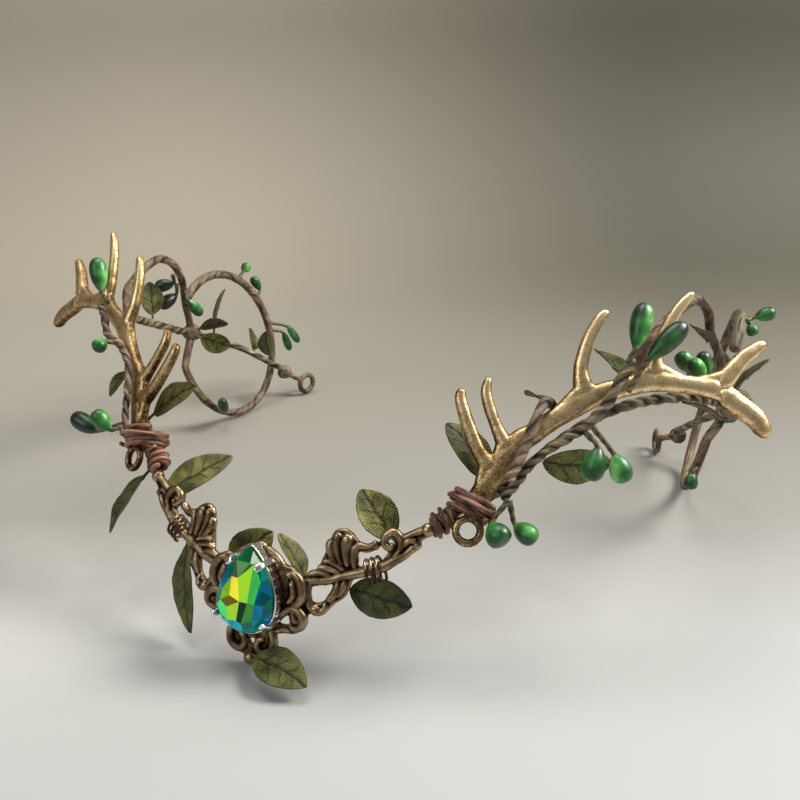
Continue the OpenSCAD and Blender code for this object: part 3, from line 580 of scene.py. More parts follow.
def antler_mesh():
    """The beam, the tines with webs to the beam, and the hanging ring, in one skin."""
    form = Form()
    tine(form, BEAM)
    for rows, (before, after) in zip(TINES, ROOTS):
        tine(form, rows)
        middle = (np.array(rows[0]) + np.array(rows[1])) / 2
        for b in (before, after):
            tine(form, [(*BEAM[b][:2], 1.3), (*middle[:2], 1.25)])
    count, n = 60, 12
    angle, around = [2 * np.pi * np.arange(k) / k for k in (count, n)]
    out = spots(np.cos(angle), np.sin(angle))
    points = (RING_R + RING_WIRE_R * np.cos(around)[None, :, None]) * out[:, None]
    points = points + RING_WIRE_R * np.sin(around)[None, :, None] * UP
    faces = []
    for i in range(count):
        a, b = i * n, (i + 1) % count * n
        faces += [(a + k, b + k, b + (k + 1) % n, a + (k + 1) % n) for k in range(n)]
    form.add(points, faces)
    return remeshed(form.mesh("antler"), voxel=0.22, smoothing=4)


def antler(side):
    """Rough cast bronze with painted light: painted highlight on the faces, on ridges and towards the tips,
    painted shade on the side walls, in hollows and low on the beam.
    """
    mesh = antler_mesh()
    points, normals, edges = vertex_data(mesh)
    # Painted highlight on ridges and painted shade in hollows
    proud = np.clip(ridges(points, normals, edges, rounds=12), -0.25, 0.25)
    grain = 0.5 * noise(points * [1, 1, 0.6], 1.3, 3) + 0.5 * noise(points, 0.5, 5)
    rough = 0.05 * noise(points, 2.4, 8) + 0.035 * grain
    points = points + normals * rough[:, None]
    # Painted light on the faces and painted shade on the side walls
    face = step_up(np.abs(normals[:, 2]), 0.3, 0.95)
    low, middle, tips = 6, 26, 44
    # Painted shade low on the beam and painted light towards the tips
    dark, light = step_up(points[:, 1], middle, low), step_up(points[:, 1], middle, tips)
    relief = 0.2 + 0.42 * face + 0.15 * proud + 0.22 * grain - 0.32 * dark + 0.2 * light
    # Painted highlight on the outer end of the right antler only
    if side == RIGHT:
        relief = relief + 0.12 * step_up(points[:, 0], 16, 46)
    write_value(mesh, "relief", relief)
    name = "antler" + SIDE_NAME[side]
    points = faced(points, ANTLER_AT, ANTLER_YAW, ANTLER_LEAN)
    put(mesh, name + "_cast", name, bronze, side, points)


antler(LEFT)
antler(RIGHT)


# Filigree

STONE_AT, STONE_LEAN = (0, 1.9, 16.4), 16
STONE_W, STONE_H, STONE_CROWN, STONE_DEPTH = 13, 18, 3, 2.6
GIRDLE, PLATE, CUP_DEPTH = 0.3, 1.3, 3.25
PLATE_BACK = GIRDLE + GAP + CUP_DEPTH + 0.2 + PLATE
ARM_AT, ARM_YAW, ARM_LEAN, LEFT_ARM_DROP = (13.7, 6.6, 12.3), 12, 24, 1.5
# Strips of the plate: x, y and half width
CENTRE_PLATE = [
    [(0, -14.6, 1.2), (2.6, -12.6, 2.2), (3.4, -9, 2), (0, -9.5, 2)],
    [(3.4, -9, 1.6), (6.6, -7.6, 0.8), (9.2, -7.4, 0.9), (11.2, -5.6, 0.9), (10.8, -3.6, 0.9),
     (9, -2.8, 1.1)],
    [(9, -2.8, 1.1), (10, 0.8, 1.1), (8.2, 3.8, 1.3), (6, 4.6, 1)],
    [(4.4, -5, 1.2), (6.4, -3.2, 1), (9, -2.8, 1)],
    [(0, -8, 3), (4, -5, 2.6), (5.6, 0, 2.4), (3.6, 5, 2.2), (0, 7.6, 1.6)],
    [(0, -8, 3), (0, 7.6, 1.6)]]
ARM_PLATE = [
    [(4, 14.6, 2.5), (3.2, 11.6, 2.6), (2.2, 8.6, 2.6), (1, 6.6, 1.4)],
    [(4, 14.6, 2.2), (5.8, 11.4, 1.7), (6, 8.8, 1.5)],
    [(-4.4, 5.4, 1.1), (1, 6.6, 1.3), (6, 8.2, 1.3), (9, 9, 1.1), (12.7, 10.5, 1.1), (14.4, 12.8, 1.1),
     (16.8, 15, 1.2), (20.9, 18.4, 1.1)],
    [(-2.2, 5.6, 0.8), (-2.7, 3, 0.8), (-1.6, 0.8, 1.1), (0.8, 0.8, 1.1), (2.6, 2.4, 1), (3.6, 4.8, 1),
     (4.2, 7, 1.2)],
    [(2.6, 2.4, 0.9), (4.8, 4, 0.8), (5.4, 7, 1.2)],
    [(-2.7, 3, 0.8), (-4.6, 1.6, 1), (-4.6, -2.4, 1), (-1.6, 0.6, 0.9)],
    [(14.4, 12.8, 0.8), (15.5, 14.6, 0.8), (15, 16.6, 0.8), (13.1, 16.9, 0.8), (12.3, 15.2, 0.8),
     (13.4, 14.2, 0.8)],
    [(5.6, 15.2, 1), (7.3, 13.8, 0.8), (8.9, 13.4, 0.8), (10.7, 14.3, 0.8)],
    [(15.8, 14, 0.9), (17.6, 14, 0.8), (19, 15.2, 0.9)]]
# Raised strokes: x, y and half width, drawn as rounded ribs
CENTRE_RIBS = [
    [(4.2, -8.6, 0.7), (5.2, -10.6, 0.9), (4.8, -13, 1), (3, -14.1, 1), (1.6, -13, 0.9), (1.8, -11.4, 0.8),
     (3, -11, 0.6)],
    [(5.8, -5.6, 0.7), (7.6, -3.6, 0.95), (9.7, -3.1, 1.05), (11.2, -4.4, 1), (11, -6.2, 0.95),
     (9.4, -6.9, 0.8), (8.6, -5.8, 0.6)],
    [(9.2, -2.6, 0.8), (10.5, -0.2, 1.05), (9.9, 2.8, 1), (8.2, 4.2, 0.85), (7, 3.2, 0.6)],
    [(7.6, -2.2, 0.7), (8.6, 0, 0.85), (7.9, 2.4, 0.7)],
    [(5.4, -8.6, 0.6), (7.2, -7.8, 0.75), (9, -7.8, 0.6)]]
ARM_RIBS = [
    [(3.4, 9.4, 0.5), (2.2, 11.2, 0.85), (1.5, 13, 1), (1.8, 14.6, 0.9)],
    [(4.2, 9.6, 0.5), (3.3, 11.6, 0.85), (2.8, 13.9, 1.1), (3.2, 16.1, 1.1)],
    [(5.4, 9.6, 0.6), (4.9, 12, 1.1), (4.9, 14.4, 1.5), (5.2, 16, 1.25)],
    [(6.9, 9.4, 0.6), (6.5, 11.4, 0.9), (6.7, 13.2, 1.05), (7.6, 13.9, 0.85), (9, 13.9, 0.65),
     (10.3, 14.4, 0.6), (10.9, 15.2, 0.6)],
    [(4.8, 8.8, 0.45), (3.2, 9.7, 0.65), (1.6, 10.2, 0.7), (0.2, 10, 0.5)],
    [(4.2, 8, 0.45), (2.4, 8.5, 0.65), (0.7, 8.9, 0.7), (-0.7, 8.7, 0.5)],
    [(2.4, 7, 0.5), (0.6, 7.6, 0.75), (-1.4, 7.5, 0.75), (-2.7, 6.9, 0.5)],
    [(-4.4, 5.5, 0.75), (-1.5, 6, 0.85), (1.5, 6.4, 0.9), (4, 7.3, 0.95), (6.6, 8.2, 1), (9, 9, 1.15),
     (11, 9.8, 1.2), (13, 10.6, 1.2), (15, 12, 1.05), (16.8, 13.2, 0.95), (18.4, 14.8, 0.75)],
    [(14.6, 12.2, 0.8), (15.8, 14, 0.85), (15.6, 16.2, 0.9), (14.2, 17.3, 0.9), (12.7, 16.6, 0.85),
     (12.4, 15, 0.8), (13.5, 14.1, 0.7), (14.3, 15, 0.6)],
    [(16, 14.4, 0.65), (17.2, 15.9, 0.75), (18.8, 16.1, 0.75)],
    [(15.8, 16.2, 0.65), (17.6, 17.2, 0.7), (19.4, 18.1, 0.8), (20.7, 18.4, 0.9)],
    [(-1.9, 6, 0.65), (-2.3, 4, 0.8), (-2, 2, 0.85), (-1.2, 0.4, 0.85), (0.3, -0.1, 0.85), (1.5, 0.8, 0.8),
     (1.4, 2.1, 0.6)],
    [(3.8, 7, 0.55), (3.7, 5.4, 0.9), (3.1, 3.7, 0.95), (1.9, 2.3, 0.75)],
    [(5, 7.4, 0.5), (5, 5.8, 0.75), (4.5, 4.3, 0.7), (3.8, 3.4, 0.5)],
    [(-2.8, 2.6, 0.6), (-4.4, 1.4, 0.85), (-4.8, -0.6, 0.9), (-4.3, -2.3, 0.9), (-3, -2.1, 0.75),
     (-2.2, -0.8, 0.6)]]
# Balls: x, y and radius
CENTRE_BALLS = [(9.9, -5.3, 1.0), (0, -15.75, 1.5)]
ARM_BALLS = [(-0.4, 0.3, 1.3), (20.9, 18.4, 1.45), (10.7, 14.3, 0.95), (19, 15.2, 0.95), (-4.0, -1.6, 0.9)]


def strips(form, rows):
    """The flat strips of the plate, with a round post at each of their points."""
    post = spots(0.0, 0.0, np.array([0, 0.35, 0.95, PLATE]))
    thinnest = 0.1
    for row in rows:
        flat, wide, at, side = stroke(row, n=6, step=0.3)
        wide = np.maximum(wide * round_ends(at, wide, 0.02), thinnest)
        sweep(form, flat + UP * PLATE / 2, wide, PLATE / 2, side=side, power=5.0)
        for x, y, r in row:
            sweep(form, post + [x, y, 0], [r * 0.9, r, r, r * 0.9], side=ACROSS)


def ribs(form, rows):
    rib_down = 0.3
    for row in rows:
        flat, wide, at, side = stroke(row, n=8, step=0.15)
        r = wide * round_ends(at, wide, 0.15)
        sweep(form, flat + UP * (PLATE - rib_down), r, 0.4 + 0.6 * r, side=side)


def arm_place(side):
    """Place, yaw and lean of an arm. The left arm hangs a little lower."""
    return (ARM_AT[0], ARM_AT[1], ARM_AT[2] - (LEFT_ARM_DROP if side == LEFT else 0)), ARM_YAW, ARM_LEAN


def filigree():
    """The centre piece and the two arms, stamped from one plate: dark, with painted shade in the hollows
    and painted highlight on the ridges.
    """
    whole = Form()
    for side in (RIGHT, LEFT):
        for plates, strokes, balls, back, place in (
                (CENTRE_PLATE, CENTRE_RIBS, CENTRE_BALLS, PLATE_BACK, (STONE_AT, 0, STONE_LEAN)),
                (ARM_PLATE, ARM_RIBS, ARM_BALLS, PLATE / 2, arm_place(side))):
            part = Form()
            strips(part, plates)
            ribs(part, strokes)
            for x, y, r in balls:
                ball(part, (x, y, PLATE * 0.6), r)
            points = faced(np.concatenate(part.points) - UP * back, *place)
            whole.add(points * [side, 1, 1], [face[::side] for face in part.faces])
    mesh = remeshed(whole.mesh("filigree"), voxel=0.19, smoothing=2)
    points, normals, edges = vertex_data(mesh)
    fine, broad = [ridges(points, normals, edges, rounds) for rounds in (10, 40)]
    rough = 0.03 * noise(points, 0.7, 2) + 0.03 * noise(points, 2.2, 4)
    points = points + normals * rough[:, None]
    # Painted shade in hollows and painted highlight on ridges, at two sizes, with a little random tone
    relief = 0.35 + 3.6 * np.clip(fine, -0.2, 0.2) + 0.9 * np.clip(broad, -0.35, 0.35)
    write_value(mesh, "relief", relief + 0.12 * noise(points, 1.2, 9))
    put(mesh, "filigree_stamped", "filigree", brass, points=points)


filigree()


# Stone and setting

PEAR_TURN = 0.7


def pear(n, turn=0.0):
    """A ring of n points round the stone's edge."""
    def shape(a):
        return np.sin(a) * np.abs(np.sin(a / 2)) ** PEAR_TURN

    a = 2 * np.pi * (np.arange(n) + turn) / n
    widest = np.max(shape(np.linspace(0, np.pi, 400)))
    return np.stack([STONE_W / 2 * shape(a) / widest, STONE_H / 2 * np.cos(a)], -1)


# Colours of the painted light in the stone's facets
YELLOW, OLIVE, LIME, GREEN = (0.8, 0.7, 0.03), (0.14, 0.085, 0.003), (0.3, 0.6, 0.03), (0.04, 0.42, 0.07)
GRASS, SPRING, DARK, MOSS = (0.18, 0.4, 0.02), (0.04, 0.7, 0.17), (0.001, 0.022, 0.006), (0.04, 0.2, 0.025)
EMERALD, TEAL, BLUE, CYAN = (0.0, 0.08, 0.025), (0.0, 0.15, 0.13), (0.0, 0.13, 0.25), (0.0, 0.3, 0.4)
# Facets of the table: the colour of the light painted in each, and corners across and up from the stone's
# middle
TABLE_FACETS = [
    (YELLOW, [(-1.6, 3.3), (-0.2, 3.3), (0.6, -1.4), (-1.8, -0.6)]),
    (OLIVE, [(-3.8, -2), (-1.8, -0.6), (0.6, -1.4), (-2.2, -3.1)]),
    (LIME, [(-0.2, 3.3), (2.3, 6.1), (2.4, -1.3), (0.6, -1.4)]),
    (GREEN, [(2.3, 6.1), (4.2, 3), (4, -1.2), (2.4, -1.3)]),
    (GRASS, [(-1.6, 3.3), (-1.8, -0.6), (-3.8, -2), (-3.5, 0.4)]),
    (SPRING, [(-3.8, -2), (-2.2, -3.1), (-1.9, -5.7), (-3.7, -5.1), (-4.6, -3.2)]),
    (LIME, [(-2.2, -3.1), (0.6, -1.4), (0.3, -5.4), (-1.9, -5.7)]),
    (DARK, [(0.6, -1.4), (2.4, -1.3), (1.4, -5.8), (0.3, -5.4)]),
    (MOSS, [(2.4, -1.3), (4, -1.2), (3.5, -4.9), (1.4, -5.8)])]
# Painted glints in the facets round the table: place across and up, and colour
GLINTS = [
    (-0.5, 7.6, EMERALD), (1.5, 6, MOSS), (-2.2, 5.4, EMERALD), (-3.6, 3.2, BLUE), (-4.9, 1.6, BLUE),
    (-5.2, -0.6, TEAL), (-5.4, -3.4, TEAL), (-4.6, -5.9, CYAN), (-2.4, -7.3, CYAN), (0, -7.4, CYAN),
    (2.2, -7.2, TEAL), (4.2, -5.6, TEAL), (5.6, -3.4, BLUE), (5.2, -0.8, TEAL), (5.6, 1.2, BLUE),
    (4.4, 3.8, TEAL), (2.8, 6.4, EMERALD)]


def inside(outline, x, y):
    """Whether a place is inside a polygon."""
    odd = False
    for (ax, ay), (bx, by) in zip(outline, outline[1:] + outline[:1]):
        if (ay > y) != (by > y) and x < ax + (y - ay) / (by - ay) * (bx - ax):
            odd = not odd
    return odd


def stone_mesh():
    """The stone, with its crown cut along the girdle, the star facets and the facets of the table."""
    n = 16
    table_share, star_share, star_up, merge = 0.66, 0.85, 1.8, 0.02
    rim, star = pear(n), pear(n, 0.5) * star_share
    flat, edges = [], []
    for outline in (rim, star, *(outline for _, outline in TABLE_FACETS)):
        start, count = len(flat), len(outline)
        flat += [Vector(p) for p in outline]
        edges += [(start + k, start + (k + 1) % count) for k in range(count)]
    crown, _, crown_faces, _, _, _ = delaunay_2d_cdt(flat, edges, [], 1, merge)
    fine = pear(720)
    heading, reach = np.unwrap(np.arctan2(fine[:, 0], fine[:, 1])), np.linalg.norm(fine, axis=1)

    def up_at(x, y):
        share = math.hypot(x, y) / np.interp(math.atan2(x, y) % (2 * np.pi), heading, reach)
        return float(np.interp(share, [table_share, star_share, 1.0], [STONE_CROWN, star_up, 0.0]))

    points = [(p[0], p[1], 0.0 if k < n else up_at(p[0], p[1])) for k, p in enumerate(crown)]
    start = len(points)
    # Height and share of the outline of each ring below the girdle
    low = [(-GIRDLE, 1.0), (-1.5, 0.7), (-STONE_DEPTH, 0.08)]
    for up, share in low:
        points += [(*(share * p), up) for p in rim]
    starts = [0, *(start + i * n for i in range(len(low)))]
    faces = [tuple(face) for face in crown_faces]
    for a, b in zip(starts, starts[1:]):
        faces += [(a + k, b + k, b + (k + 1) % n, a + (k + 1) % n) for k in range(n)]
    faces.append(tuple(starts[-1] + k for k in range(n)))
    mesh = bpy.data.meshes.new("stone")
    mesh.from_pydata(points, [], faces)
    mesh.update()
    cut = bmesh.new()
    cut.from_mesh(mesh)
    bmesh.ops.recalc_face_normals(cut, faces=cut.faces)
    cut.to_mesh(mesh)
    cut.free()
    return mesh


def stone():
    """A pear-cut stone whose facets take the painted colours of the table and of the painted glints round
    it, and glow with them.
    """
    mesh = stone_mesh()
    colours = mesh.attributes.new("facet", "FLOAT_COLOR", "CORNER")
    rng = np.random.default_rng(7)
    places = np.array([glint[:2] for glint in GLINTS])
    for face in mesh.polygons:
        x, y = face.center[:2]
        held = [tone for tone, outline in TABLE_FACETS if inside(outline, x, y)]
        tone = held[0] if held else GLINTS[int(np.argmin(np.linalg.norm(places - [x, y], axis=1)))][2]
        # Painted glints: each facet round the table is lit by a random amount
        glow = 1.0 if held else 0.3 + 0.9 * rng.random()
        for loop in face.loop_indices:
            lit = [min(1.0, c * (glow - 0.15 + 0.3 * rng.random())) for c in tone]
            colours.data[loop].color = (*lit, 1)
    m = Nodes("stone_crystal")
    facet = m.value("facet", "Color")
    m.set(Roughness=0.12, Coat_Weight=0.06, Coat_Roughness=0.03, Specular_IOR_Level=0.2)
    # The facets glow with their painted colours though the stone is no lamp
    m.set(Base_Color=m.mix(0.7, facet, (0.0, 0.01, 0.004)), Emission_Color=facet, Emission_Strength=0.85)
    points = faced(coordinates(mesh), STONE_AT, 0, STONE_LEAN)
    put(mesh, "stone_cut", "gem", m.material, points=points, smooth=False)


def setting():
    """A fluted silver cup with four bent claws."""
    form = Form()
    n, flutes, flute_deep = 144, 36, 0.1
    flute = flute_deep * np.cos(flutes * 2 * np.pi * np.arange(n) / n)
    foot_up = -GIRDLE - GAP - CUP_DEPTH
    # Height over the cup's foot and stand off from the stone's edge, up the outside and down the inside,
    # with the share of the flutes
    profile = [
        (0.0, -0.6, 0.2), (0.0, -0.1, 0.6), (0.2, 0.15, 1.0), (1.4, 0.24, 1.0), (2.6, 0.22, 1.0),
        (2.8, 0.24, 0.0), (3.05, 0.2, 0.0), (3.05, -0.1, 0.0), (2.8, -0.35, 0.0), (0.6, -0.4, 0.0),
        (0.6, -3.0, 0.0)]
    edge = pear(n)
    out = edge / [STONE_W ** 2, STONE_H ** 2]
    out /= np.linalg.norm(out, axis=1)[:, None]
    rings = []
    for up, off, share in profile:
        ring = edge + (off + share * flute)[:, None] * out
        rings.append(spots(ring[:, 0], ring[:, 1], foot_up + up))
    form.add(np.concatenate(rings), [face[::-1] for face in grid_faces(len(rings), n)])
    claw_wide, claw_thick = 0.72, 0.4
    for share in (0.14, 0.36, 0.64, 0.86):
        foot = pear(1, share)[0]
        way = unit(foot / [STONE_W, STONE_H])
        # How far out and up the claw stands at each step
        steps = [(0.5, -3.4), (0.6, -1.5), (0.68, 0.2), (0.55, 1.0), (0.1, 1.7), (-0.5, 2.3)]
        line = curve([(*(foot + s * way), up) for s, up in steps], 5)
        end = round_end((len(line) - 1 - np.arange(len(line))) / 4 + 0.1)
        side = np.array([-way[1], way[0], 0])
        sweep(form, line, claw_wide * end, claw_thick * end ** 0.5, n=14, side=side, power=3.6)
    mesh = form.mesh("setting")
    points, normals, edges = vertex_data(mesh)
    # Painted shade in the grooves of the flutes and painted highlight on their ridges
    write_value(mesh, "relief", 0.62 + 6 * np.clip(ridges(points, normals, edges, 3), -0.08, 0.08))
    points = faced(points, STONE_AT, 0, STONE_LEAN)
    put(mesh, "setting_claws", "gem_setting", silver, points=points)


stone()
setting()


# Vines

KNOT_R, END_KNOT_R, LOOP_R, EYE_R, EYE_WIRE_R = 2.8, 2.4, 1.7, 3, 0.9
KNOT_AT = np.array([80.8, 97.5, 32])
VINE = [
    (33.7, 20.2, 29.5), (37.9, 24.4, 32.2), (43.4, 28.7, 34.7), (47.5, 32.8, 39.3), (52.8, 38, 44),
    (59.3, 43.5, 48.3), (66, 48, 50.6), (73, 52.5, 51.2), (78.5, 61, 48.5), (81, 72, 43.5), (81.5, 84, 38),
    (81.1, 92, 34)]
BRANCH = {
    RIGHT: [(45.4, 24.7, 35.4), (47.6, 26.5, 38.6), (49.4, 28.6, 41.7), (52.1, 31.5, 44.5),
            (57, 35.3, 47.8), (60.1, 36.7, 51.3), (61.8, 38.9, 53.9), (63.1, 41.4, 57.3),
            (64.8, 44.2, 60.8)],
    LEFT: [(42.6, 20.3, 36.5), (44, 23.1, 40.4), (45.4, 26.2, 44.7), (47.5, 29.4, 48.7), (52.6, 33.2, 51.3),
           (58.9, 36.5, 52), (62.9, 40.3, 55.5), (65.4, 42.4, 57.2)]}
ARCH = {
    RIGHT: [(61.8, 48.4, 53), (63.8, 50.4, 57), (66, 53.8, 61.6), (68.5, 60, 65), (71.4, 70, 66.6),
            (72.9, 77, 65), (74.3, 84, 60.5), (75, 88.5, 54.5), (77, 92, 49), (78.6, 94, 43),
            (79.6, 95.9, 38.5)],
    LEFT: [(62, 47.8, 52.6), (66, 53, 57.5), (70, 61, 58.8), (73, 70, 60), (73.8, 77, 60.6), (75, 84, 57.5),
           (77, 89.5, 52.5), (79.3, 93.5, 47.5), (80.9, 95.8, 42), (80.9, 96.6, 38)]}
WINDING = [(46.8, 23.3, 40.3), (48.2, 28, 45), (48.9, 30.5, 48.6), (49.6, 33.8, 52), (50.1, 37, 52.5),
           (51, 39.6, 49.6)]
TWIG = [(79, 105, 28), (76, 113, 23.5), (73, 119.5, 19), (69.6, 125.5, 14), (68.2, 128.8, 11.5)]
END_KNOT_AT = np.array([68.4, 131.6, 9])
EYE_AT = np.array([62.1, 136, EYE_R + EYE_WIRE_R + GAP])
EYE_YAW = math.radians(19)
# How far further in the knot and the eye of the back end sit
END_IN = {RIGHT: 1.8, LEFT: 0}
# Middle of each back loop and its half sizes along two ways, and the angles where it starts and ends
LOOP = {
    RIGHT: [(75.7, 112, 26.35 + LOOP_R), (-1.8, 20.5, 0), (4.5, -6, 26.3)],
    LEFT: [(77, 111.5, 22.65 + LOOP_R), (-3, 20.5, 0), (4.8, 0, 22.7)]}
LOOP_FROM, LOOP_TO = 128, -176


def up_to_knot(p):
    """The place just outside the back knot where a stem from p meets it."""
    return KNOT_AT + (KNOT_R + GAP) * unit(np.array(p, float) - KNOT_AT)


def strand(form, line, radius, pitch, depth, tint, seed, step=0.28, n=30):
    """Two strands twisted together and wound with creased tape, with one radius or one for each point, with
    painted shade in the crease and painted highlight on the strands' tops.
    """
    drift, fold_deep, lump_deep, end_reach = 2.2, 0.1, 0.09, 0.8
    rows, at = evenly(np.column_stack([line, np.broadcast_to(radius, len(line))]), step)
    path, r = rows[:, :3], rows[:, 3:4]
    around = 2 * np.pi * np.arange(n)[None, :] / n
    s = at[:, None]
    turn = around - 2 * np.pi * s / pitch + drift * noise(spots(s), 9, seed)
    c, w = np.cos(turn), np.sin(turn)
    # From 0 in the crease between the strands to 1 on top of each
    lobe = np.abs(np.cos(turn + 0.5 * noise(spots(2 * c, 2 * w, s / 5), 1.0, seed + 7)))
    fade = 0.72 + 0.28 * noise(spots(s), 5, seed + 1)
    folds = spots(2.6 * c, 2.6 * w, 0.3 * s)
    fold = 0.65 * noise(folds, 0.9, seed + 2) + 0.35 * noise(folds, 0.45, seed + 4)
    skin = spots(s, r * np.cos(around), r * np.sin(around))
    lump = 0.6 * noise(skin, 3.4, seed + 3) + 0.4 * noise(skin, 1.1, seed + 5)
    radii = r * (0.97 - depth * fade * (1 - lobe ** 0.7) + fold_deep * fold + lump_deep * lump)
    radii = radii * round_ends(at, end_reach * r[:, 0], 0.1)[:, None]
    twist = min(1.0, 3 * depth)
    # Painted shade in the crease between the strands, painted highlight on their tops, on folds and on
    # lumps
    crease = 0.38 + twist * (0.08 - 0.9 * fade * (1 - lobe ** 0.4) + 0.14 * lobe ** 3)
    crease = crease + 0.45 * fold + 0.35 * lump
    tints = np.clip(tint + 0.7 * noise(skin * [1, 0, 0], 13, seed + 9) + 0.3 * fold, 0, 1)
    sweep(form, path, radii, n=n, crease=crease, tint=tints)


def knot(form, at, r, along, seed):
    """Turns of tape wound into a lump."""
    along = unit(np.array(along, float))
    side = unit(np.cross(along, [0.3, 0.2, 1.0]))
    over = np.cross(along, side)
    tape_r, turns, tint = 0.34 * r, 3.2, 0.3
    t = np.linspace(-0.5, 0.5, 60)[:, None]
    for k, tilt in enumerate((0.0, 0.9, -0.8)):
        axis = unit(along + tilt * side)
        u = unit(np.cross(axis, over))
        v = np.cross(axis, u)
        angle = 2 * np.pi * turns * t + k
        width = np.sqrt(np.clip(1 - (1.3 * t) ** 2, 0.2, 1)) * (r - tape_r)
        line = at + width * turned(angle, u, v) + 1.15 * r * t * axis
        strand(form, line, tape_r, 7.0, 0.25, tint, seed + k, step=0.3, n=12)
    # The core ball is coloured with the darkest painted shade
    ball(form, at, 0.72 * r, crease=0.0, tint=0.0)


def loop_points(side, steps=60):
    middle, u, v = [np.array(row, float) for row in LOOP[side]]
    angle = np.radians(np.linspace(LOOP_FROM, LOOP_TO, steps))[:, None]
    line = middle + turned(angle, u, v)
    return np.concatenate([line, [up_to_knot(line[-1])]])


def arch_points(side):
    return curve([*ARCH[side], up_to_knot(ARCH[side][-1])], 6)


def twig_points(side):
    shift = END_IN[side] * ACROSS
    route = [np.array(p) - shift * (i + 1) / len(TWIG) for i, p in enumerate(TWIG)]
    return curve([up_to_knot(route[0]), *route], 6)


def into_knot(line, at=KNOT_AT, r=KNOT_R):
    """The line with its end drawn on into the knot that it meets."""
    return np.concatenate([line, [at + 0.5 * r * unit(line[-1] - at)]])


def stem(kind, side, line, radii, seed, pitch, depth, tint, lump=None, name=None):
    """One wound stem, with its radius at even steps along it, and with the knot that ends it."""
    form = Form()
    line, at = evenly(line, 0.5)
    radius = np.interp(at / at[-1], np.linspace(0, 1, len(radii)), radii)
    strand(form, line, radius, pitch, depth, tint, seed)
    if lump:
        knot(form, *lump, seed + 2)
    name = name or kind + "_wound" + SIDE_NAME[side]
    put(form.mesh(name), name, kind + SIDE_NAME[side], vine_tape, side)


def vines(side, seed, bark, bough):
    """All stems of one side, with the tint and the radii of the branch on the antler."""
    end_knot = END_KNOT_AT - END_IN[side] * ACROSS
    stem("vine", side, into_knot(curve(VINE, 6)), (1.0, 0.95, 1.0, 1.15, 1.25, 1.3, 1.3, 1.3), seed,
         pitch=7.5, depth=0.5, tint=0.2, lump=(KNOT_AT, KNOT_R, KNOT_AT - VINE[-1]))
    stem("branch", side, curve(BRANCH[side], 6), bough, seed + 4, pitch=6, depth=0.55, tint=bark)
    stem("arch", side, into_knot(arch_points(side)), (1.2, 1.2, 1.15, 1.25), seed + 6,
         pitch=26, depth=0.12, tint=0.0)
    stem("loop", side, into_knot(loop_points(side)), (1.45, 1.3, 1.2, 1.3), seed + 8,
         pitch=30, depth=0.12, tint=0.15)
    twig = twig_points(side)
    twig[0] = KNOT_AT + 0.5 * KNOT_R * unit(twig[0] - KNOT_AT)
    twig = into_knot(twig, end_knot, END_KNOT_R)
    stem("cross_twig", side, twig, (1.2, 1.1, 1.1), seed + 10,
         pitch=13, depth=0.35, tint=0.5, lump=(end_knot, END_KNOT_R, end_knot - twig[-1]))
    at = EYE_AT - END_IN[side] * ACROSS
    flat = np.array([math.cos(EYE_YAW), math.sin(EYE_YAW), 0])
    to_knot = end_knot - at
    start = unit(to_knot - (to_knot @ flat) * flat)
    angle = np.linspace(0.0, 2 * np.pi, 50)[:, None]
    ring = at + EYE_R * turned(angle, start, np.cross(flat, start))
    ring = into_knot(ring[::-1], end_knot, END_KNOT_R)[::-1]
    stem("eye", side, ring, (0.95, 0.9), seed + 14, pitch=9, depth=0.18, tint=0.1)


vines(LEFT, seed=20, bark=-0.25, bough=(0.95, 0.95, 1.0, 1.1))
vines(RIGHT, seed=50, bark=0.15, bough=(0.95, 1.0, 1.15, 1.3))
stem("winding", RIGHT, curve(WINDING, 6), (1.05, 1.15, 1.05), seed=71,
     pitch=5.6, depth=0.5, tint=0.1, name="winding_wound")


# Bindings and copper wire

# Middle of the turns round the antler's foot and the way of the beam there, as the antler is drawn
FOOT_MIDDLE, FOOT_WAY = (0.8, 4.6, -2), np.array([1, 2, 0])


def in_antler(p):
    return faced(p, (0, 0, 0), ANTLER_YAW, ANTLER_LEAN)


def wound(form, middle, u, v, way, turns, pitch, r, wander_seed, seed):
    """Turns of smooth tape wound by hand round a middle, with the half sizes u and v, along the way."""
    steps, wander, uneven = 26, 0.45, 0.09
    t = np.linspace(0, turns, int(turns * steps))[:, None]
    place = spots(2.2 * t)
    swell = 1 + uneven * noise(place, 1.0, wander_seed + 1)
    shift = wander * noise(place, 1.0, wander_seed) + (t - turns / 2) * pitch
    line = middle + swell * turned(2 * np.pi * t, u, v) + shift * way
    strand(form, line, r, 22.0, 0.14, 0.1, seed, 0.25, 16)


# Layers at the filigree's end: pitch, turns, middle along the stem, distance out and coil radius
END_LAYERS = [(1.15, 4.3, 1.1, 1.55, 0.58), (-1.7, 2.4, 1.5, 2.2, 0.52)]
# Layers round the antler's foot: shift along it, pitch, turns, half depth, half width and coil radius
FOOT_LAYERS = [
    (-0.9, 0.9, 2.3, 4.6, 4.0, 0.6), (1.1, 1.2, 1.7, 5.0, 4.3, 0.65), (0.3, -1.8, 1.4, 5.5, 4.8, 0.5)]


